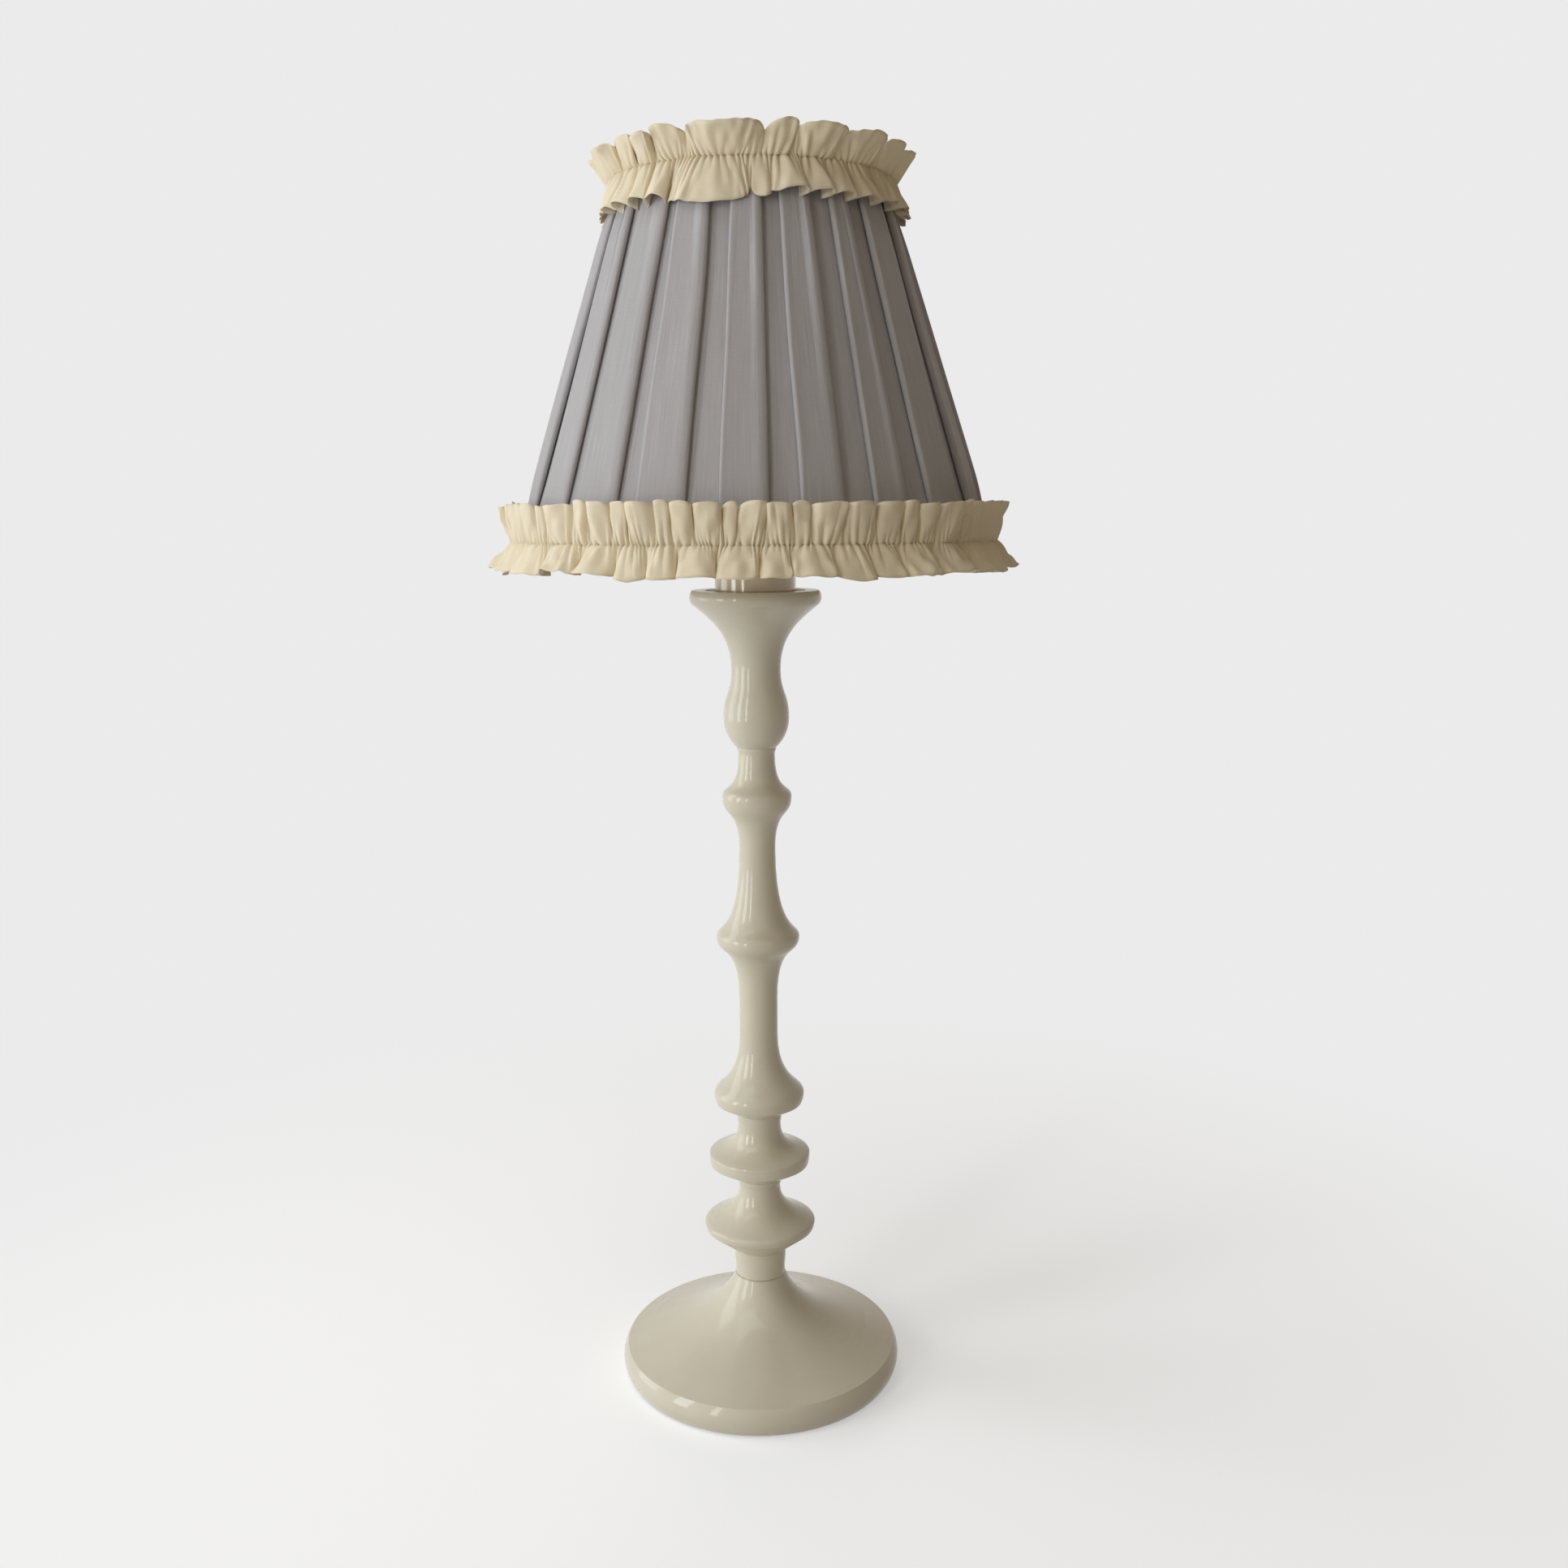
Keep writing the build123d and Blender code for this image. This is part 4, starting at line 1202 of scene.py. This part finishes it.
# %% Hem frill
HEM_THREAD_R = 81.5 * MM
HEM_THREAD_Z = bottom_z - 0.3 * MM
HEM_SEAM = math.radians(180 + 42)
# Valleys that the photograph shows, in degrees off the front
HEM_UPPER_FRONT = (
    -73, -67.6, -62.8, -55.3, -52, -41.6, -37.3, -30.9, -27.1, -20.7, -17.5, -12.2, -6.2, -3.8, 2.1, 8.3,
    11.3, 18.4, 25.5, 32, 36.5, 41.3, 49.5, 52.8, 59.2)
HEM_LOWER_FRONT = (-75, -64, -51, -39, -30, -23, -16, -7.4, 1.6, 7.2, 16, 24, 31, 41, 50.5, 62, 74)

hem_rng = np.random.default_rng(5)
hem_upper = Half(hem_rng, fold_edges(hem_rng, 64, HEM_UPPER_FRONT), height=12.6 * MM, flare=0.4 * MM,
                 wave=2.2 * MM, lean=0.4, ragged=0.07, arch=0.2)
hem_lower = Half(hem_rng, fold_edges(hem_rng, 40, HEM_LOWER_FRONT), height=10.9 * MM, flare=3.3 * MM,
                 wave=2.9 * MM, lean=0.7, ragged=0.13, arch=0.22)
hem_grid, hem_flat = frill_points(hem_rng, hem_upper, hem_lower, HEM_THREAD_R, HEM_THREAD_Z, HEM_SEAM,
                                  columns=2240, puckers=280)
hem = cloth_piece("hem_frill_strip", hem_grid, hem_flat, lawn, FRILL_T)
sew_on(hem, "hem_frill")

# %% Crown frill
CROWN_THREAD_R = 46.6 * MM
CROWN_THREAD_Z = top_z + 0.6 * MM
CROWN_SEAM = 0.0
CROWN_UPPER_FRONT = (-72, -59, -48, -38, -25, 4, 14, 33, 53, 70)
CROWN_LOWER_FRONT = (-68, -58, -48.5, -39, -30, 0, 6, 18.5, 27.5, 37, 49, 62, 78)

crown_rng = np.random.default_rng(8)
crown_upper = Half(crown_rng, fold_edges(crown_rng, 22, CROWN_UPPER_FRONT), height=9.6 * MM, flare=2.8 * MM,
                   wave=3.0 * MM, lean=0.5, ragged=0.08, arch=0.5)
crown_upper.shape(-10, lift=1.4 * MM, tall=1.12, lean=0.5)
crown_upper.shape(-31, lift=-1.0 * MM, lean=-0.8)
crown_upper.shape(-43, lift=1.2 * MM, depth=3.8 * MM, lean=0.9)
crown_upper.shape(-53, lift=-1.4 * MM, lean=1.2)
crown_upper.shape(-65, lift=1.0 * MM, depth=3.6 * MM)
crown_upper.shape(24, lift=1.0 * MM, tall=1.06)
crown_upper.shape(43, lift=1.4 * MM, tall=1.05)
crown_lower = Half(crown_rng, fold_edges(crown_rng, 32, CROWN_LOWER_FRONT), height=11.6 * MM, flare=2.4 * MM,
                   wave=2.3 * MM, lean=0.8, ragged=0.08, arch=0.25)
crown_lower.shape(-15, lift=-0.4 * MM, depth=1.7 * MM, tall=1.2, lean=-0.3, roll=0.26)
for degrees in (-63, -53, -44, -35):
    crown_lower.shape(degrees, arch=-0.1, depth=2.8 * MM, lift=0.3 * MM, tall=1.08)
for degrees in (12, 23, 32, 43, 55, 70):
    crown_lower.shape(degrees, arch=-0.06, depth=2.5 * MM, lift=0.3 * MM, lean=0.9)
crown_grid, crown_flat = frill_points(crown_rng, crown_upper, crown_lower, CROWN_THREAD_R, CROWN_THREAD_Z,
                                      CROWN_SEAM, columns=1360, puckers=170)
crown = cloth_piece("crown_frill_strip", crown_grid, crown_flat, lawn, FRILL_T)
sew_on(crown, "crown_frill")

# %% [markdown]
# Bound edges
#
# At both rings a strip of the lining's cotton is folded over the ring and the raw edges of lining and cover,
# and the frills are sewn through it. The pleats lie several layers deep there, so the bound edge is thick,
# and its outer side lies right behind the gathers. It shows from above and from below. A plain ring would
# leave a gap at each pucker, so the strip follows the gathered row of its frill.

# %% Bound edges
BINDING_T = 0.25 * MM
BINDING_COLUMNS = 1680
BINDING_LEG = 3.4 * MM
BINDING_INSIDE = LINING_IN + 0.4 * MM
BINDING_BEHIND = 0.4 * MM
BINDING_ON_COVER = 0.32 * MM
BINDING_ARCH = 0.7 * MM
ARCH_STEPS = 8
# Distances past the ring, below zero towards the cover: first behind the gathers, then on the cover
BEHIND_PLACES = (0.9 * MM, -0.4 * MM)
COVER_PLACES = (-1.2 * MM, -1.9 * MM)


def bind(name, ring_r, ring_z, up, frill):
    """A strip folded over a ring and the edges of both cloths. up is 1 at the top and -1 at the bottom."""
    angle = np.linspace(0, 2 * np.pi, BINDING_COLUMNS + 1)
    gather = frill[HALF_ROWS, :round(frill.shape[1] * 2 * np.pi / (2 * np.pi + FRILL_LAP))]
    gather_angle = np.arctan2(gather[:, 1], gather[:, 0])
    gather_r = np.interp(angle, gather_angle, np.hypot(gather[:, 0], gather[:, 1]), period=2 * np.pi)
    inner_r = ring_r - BINDING_INSIDE
    outer_r = gather_r - BINDING_BEHIND
    edge_z = ring_z + up * COVER_OVERHANG
    rows = [around_axis(inner_r, angle, z) for z in (ring_z - up * BINDING_LEG, ring_z, edge_z)]
    for turn in np.linspace(0, np.pi, ARCH_STEPS + 1)[1:-1]:
        arch_r = inner_r + (outer_r - inner_r) * (1 - math.cos(turn)) / 2
        rows.append(around_axis(arch_r, angle, edge_z + up * BINDING_ARCH * math.sin(turn)))
    rows += [around_axis(outer_r, angle, ring_z + up * place) for place in BEHIND_PLACES]
    for z in (ring_z + up * place for place in COVER_PLACES):
        rows.append(around_axis(pleat_tops(z, angle) + BINDING_ON_COVER, angle, z))
    points = np.array(rows)
    across = running_length(points.transpose(1, 0, 2))[0]
    around = running_length(points)[-1]
    flat = flat_grid(around[None, :], across[:, None])
    piece = cloth_piece(name, points[:, :-1], flat, lining_cotton, BINDING_T)
    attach(piece, "shade")
    print(name, "cut", [round(float(x), 4) for x in (across[-1], around[-1])], "m")


bind("top_binding", top_r, top_z, 1, crown_grid)
bind("bottom_binding", bottom_r, bottom_z, -1, hem_grid)

# %% [markdown]
# Gathering stitches and loose threads
#
# Both frills are held by a running stitch along the gather, a row of short threads that dip in and out of the
# cloth. Where the hem's strip ends, its raw edge laps over the start and has shed a few threads. They are
# very small, but they tell cloth from paper when the camera comes close, so they are real threads laid on the
# rows of the strip.

# %% Gathering stitches
THREAD_R = 0.13 * MM
# Radians of twist to the metre
THREAD_TWIST = 9000
# Columns of the strip that a stitch covers and leaves free, and how far a stitch stands out along its length
STITCH, GAP = 4, 4
STITCH_OUT = np.array([-0.25, 0.12, 0.2, 0.12, -0.25]) * MM

thread = Finish("cream_thread", {"Sheen Weight": 0.2, "Specular IOR Level": 0.3})
spot = thread.place()
twist = thread.sine(thread.part(spot, "X") * THREAD_TWIST + thread.part(spot, "Z") * THREAD_TWIST)
# Painted shade: the grooves of the twist are painted darker and its ridges lighter, on the same sine as the
# bump
thread.feed("Base Color", thread.mixed(twist * 0.5 + 0.5, colour(214, 200, 168), colour(240, 230, 206)))
thread.feed("Roughness", 0.55 + twist * 0.1)
thread.bumped(twist * 0.5 + 0.5, 0.05 * MM)


def outwards(points):
    """Level directions from the lamp's axis to points."""
    return points * (1, 1, 0) / np.linalg.norm(points[:, :2], axis=1, keepdims=True)


def stitch_along(name, grid):
    """Running stitches on the thread row of a frill."""
    row = grid[HALF_ROWS]
    starts = np.arange(0, len(row) - STITCH, STITCH + GAP)
    picked = starts[:, None] + np.arange(STITCH + 1)[None, :]
    paths = row[picked] + outwards(row)[picked] * STITCH_OUT[None, :, None]
    piece = thread_piece(name, paths, THREAD_R, thread)
    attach(piece, "shade")
    return len(starts)


stitches = stitch_along("hem_stitches", hem_grid) + stitch_along("crown_stitches", crown_grid)
print(stitches, "running stitches")

# %% Loose threads at the hem's seam
FRAYED = 16
FRAY_POINTS = 8
FRAY_R = 0.7 * THREAD_R
# Shortest and longest in millimetres, then mean and spread of the ways outwards, round the ring and upwards
FRAY_LENGTH = (1.0, 3.2)
FRAY_WAYS = ((0.35, 0.25), (0.8, 0.4), (0.1, 0.7))

fray_rng = np.random.default_rng(3)
raw_edge = hem_grid[:, -1]
rooted = raw_edge[fray_rng.integers(HALF_ROWS // 2, len(raw_edge), FRAYED)]
away_from_stem = outwards(rooted)
round_the_ring = np.cross((0, 0, 1), away_from_stem)
reach = np.linspace(0, 1, FRAY_POINTS)[None, :, None]
length = fray_rng.uniform(*FRAY_LENGTH, (FRAYED, 1, 1)) * MM
out, aside, droop = (fray_rng.normal(mean, spread, (FRAYED, 1, 1)) for mean, spread in FRAY_WAYS)
frays = rooted[:, None] + length * reach * (
    away_from_stem[:, None] * out + round_the_ring[:, None] * aside + reach * droop * np.array((0, 0, 1.0)))
fringe = thread_piece("loose_threads", frays, FRAY_R, thread, sides=5)
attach(fringe, "shade")
print(FRAYED, "loose threads at the seam")
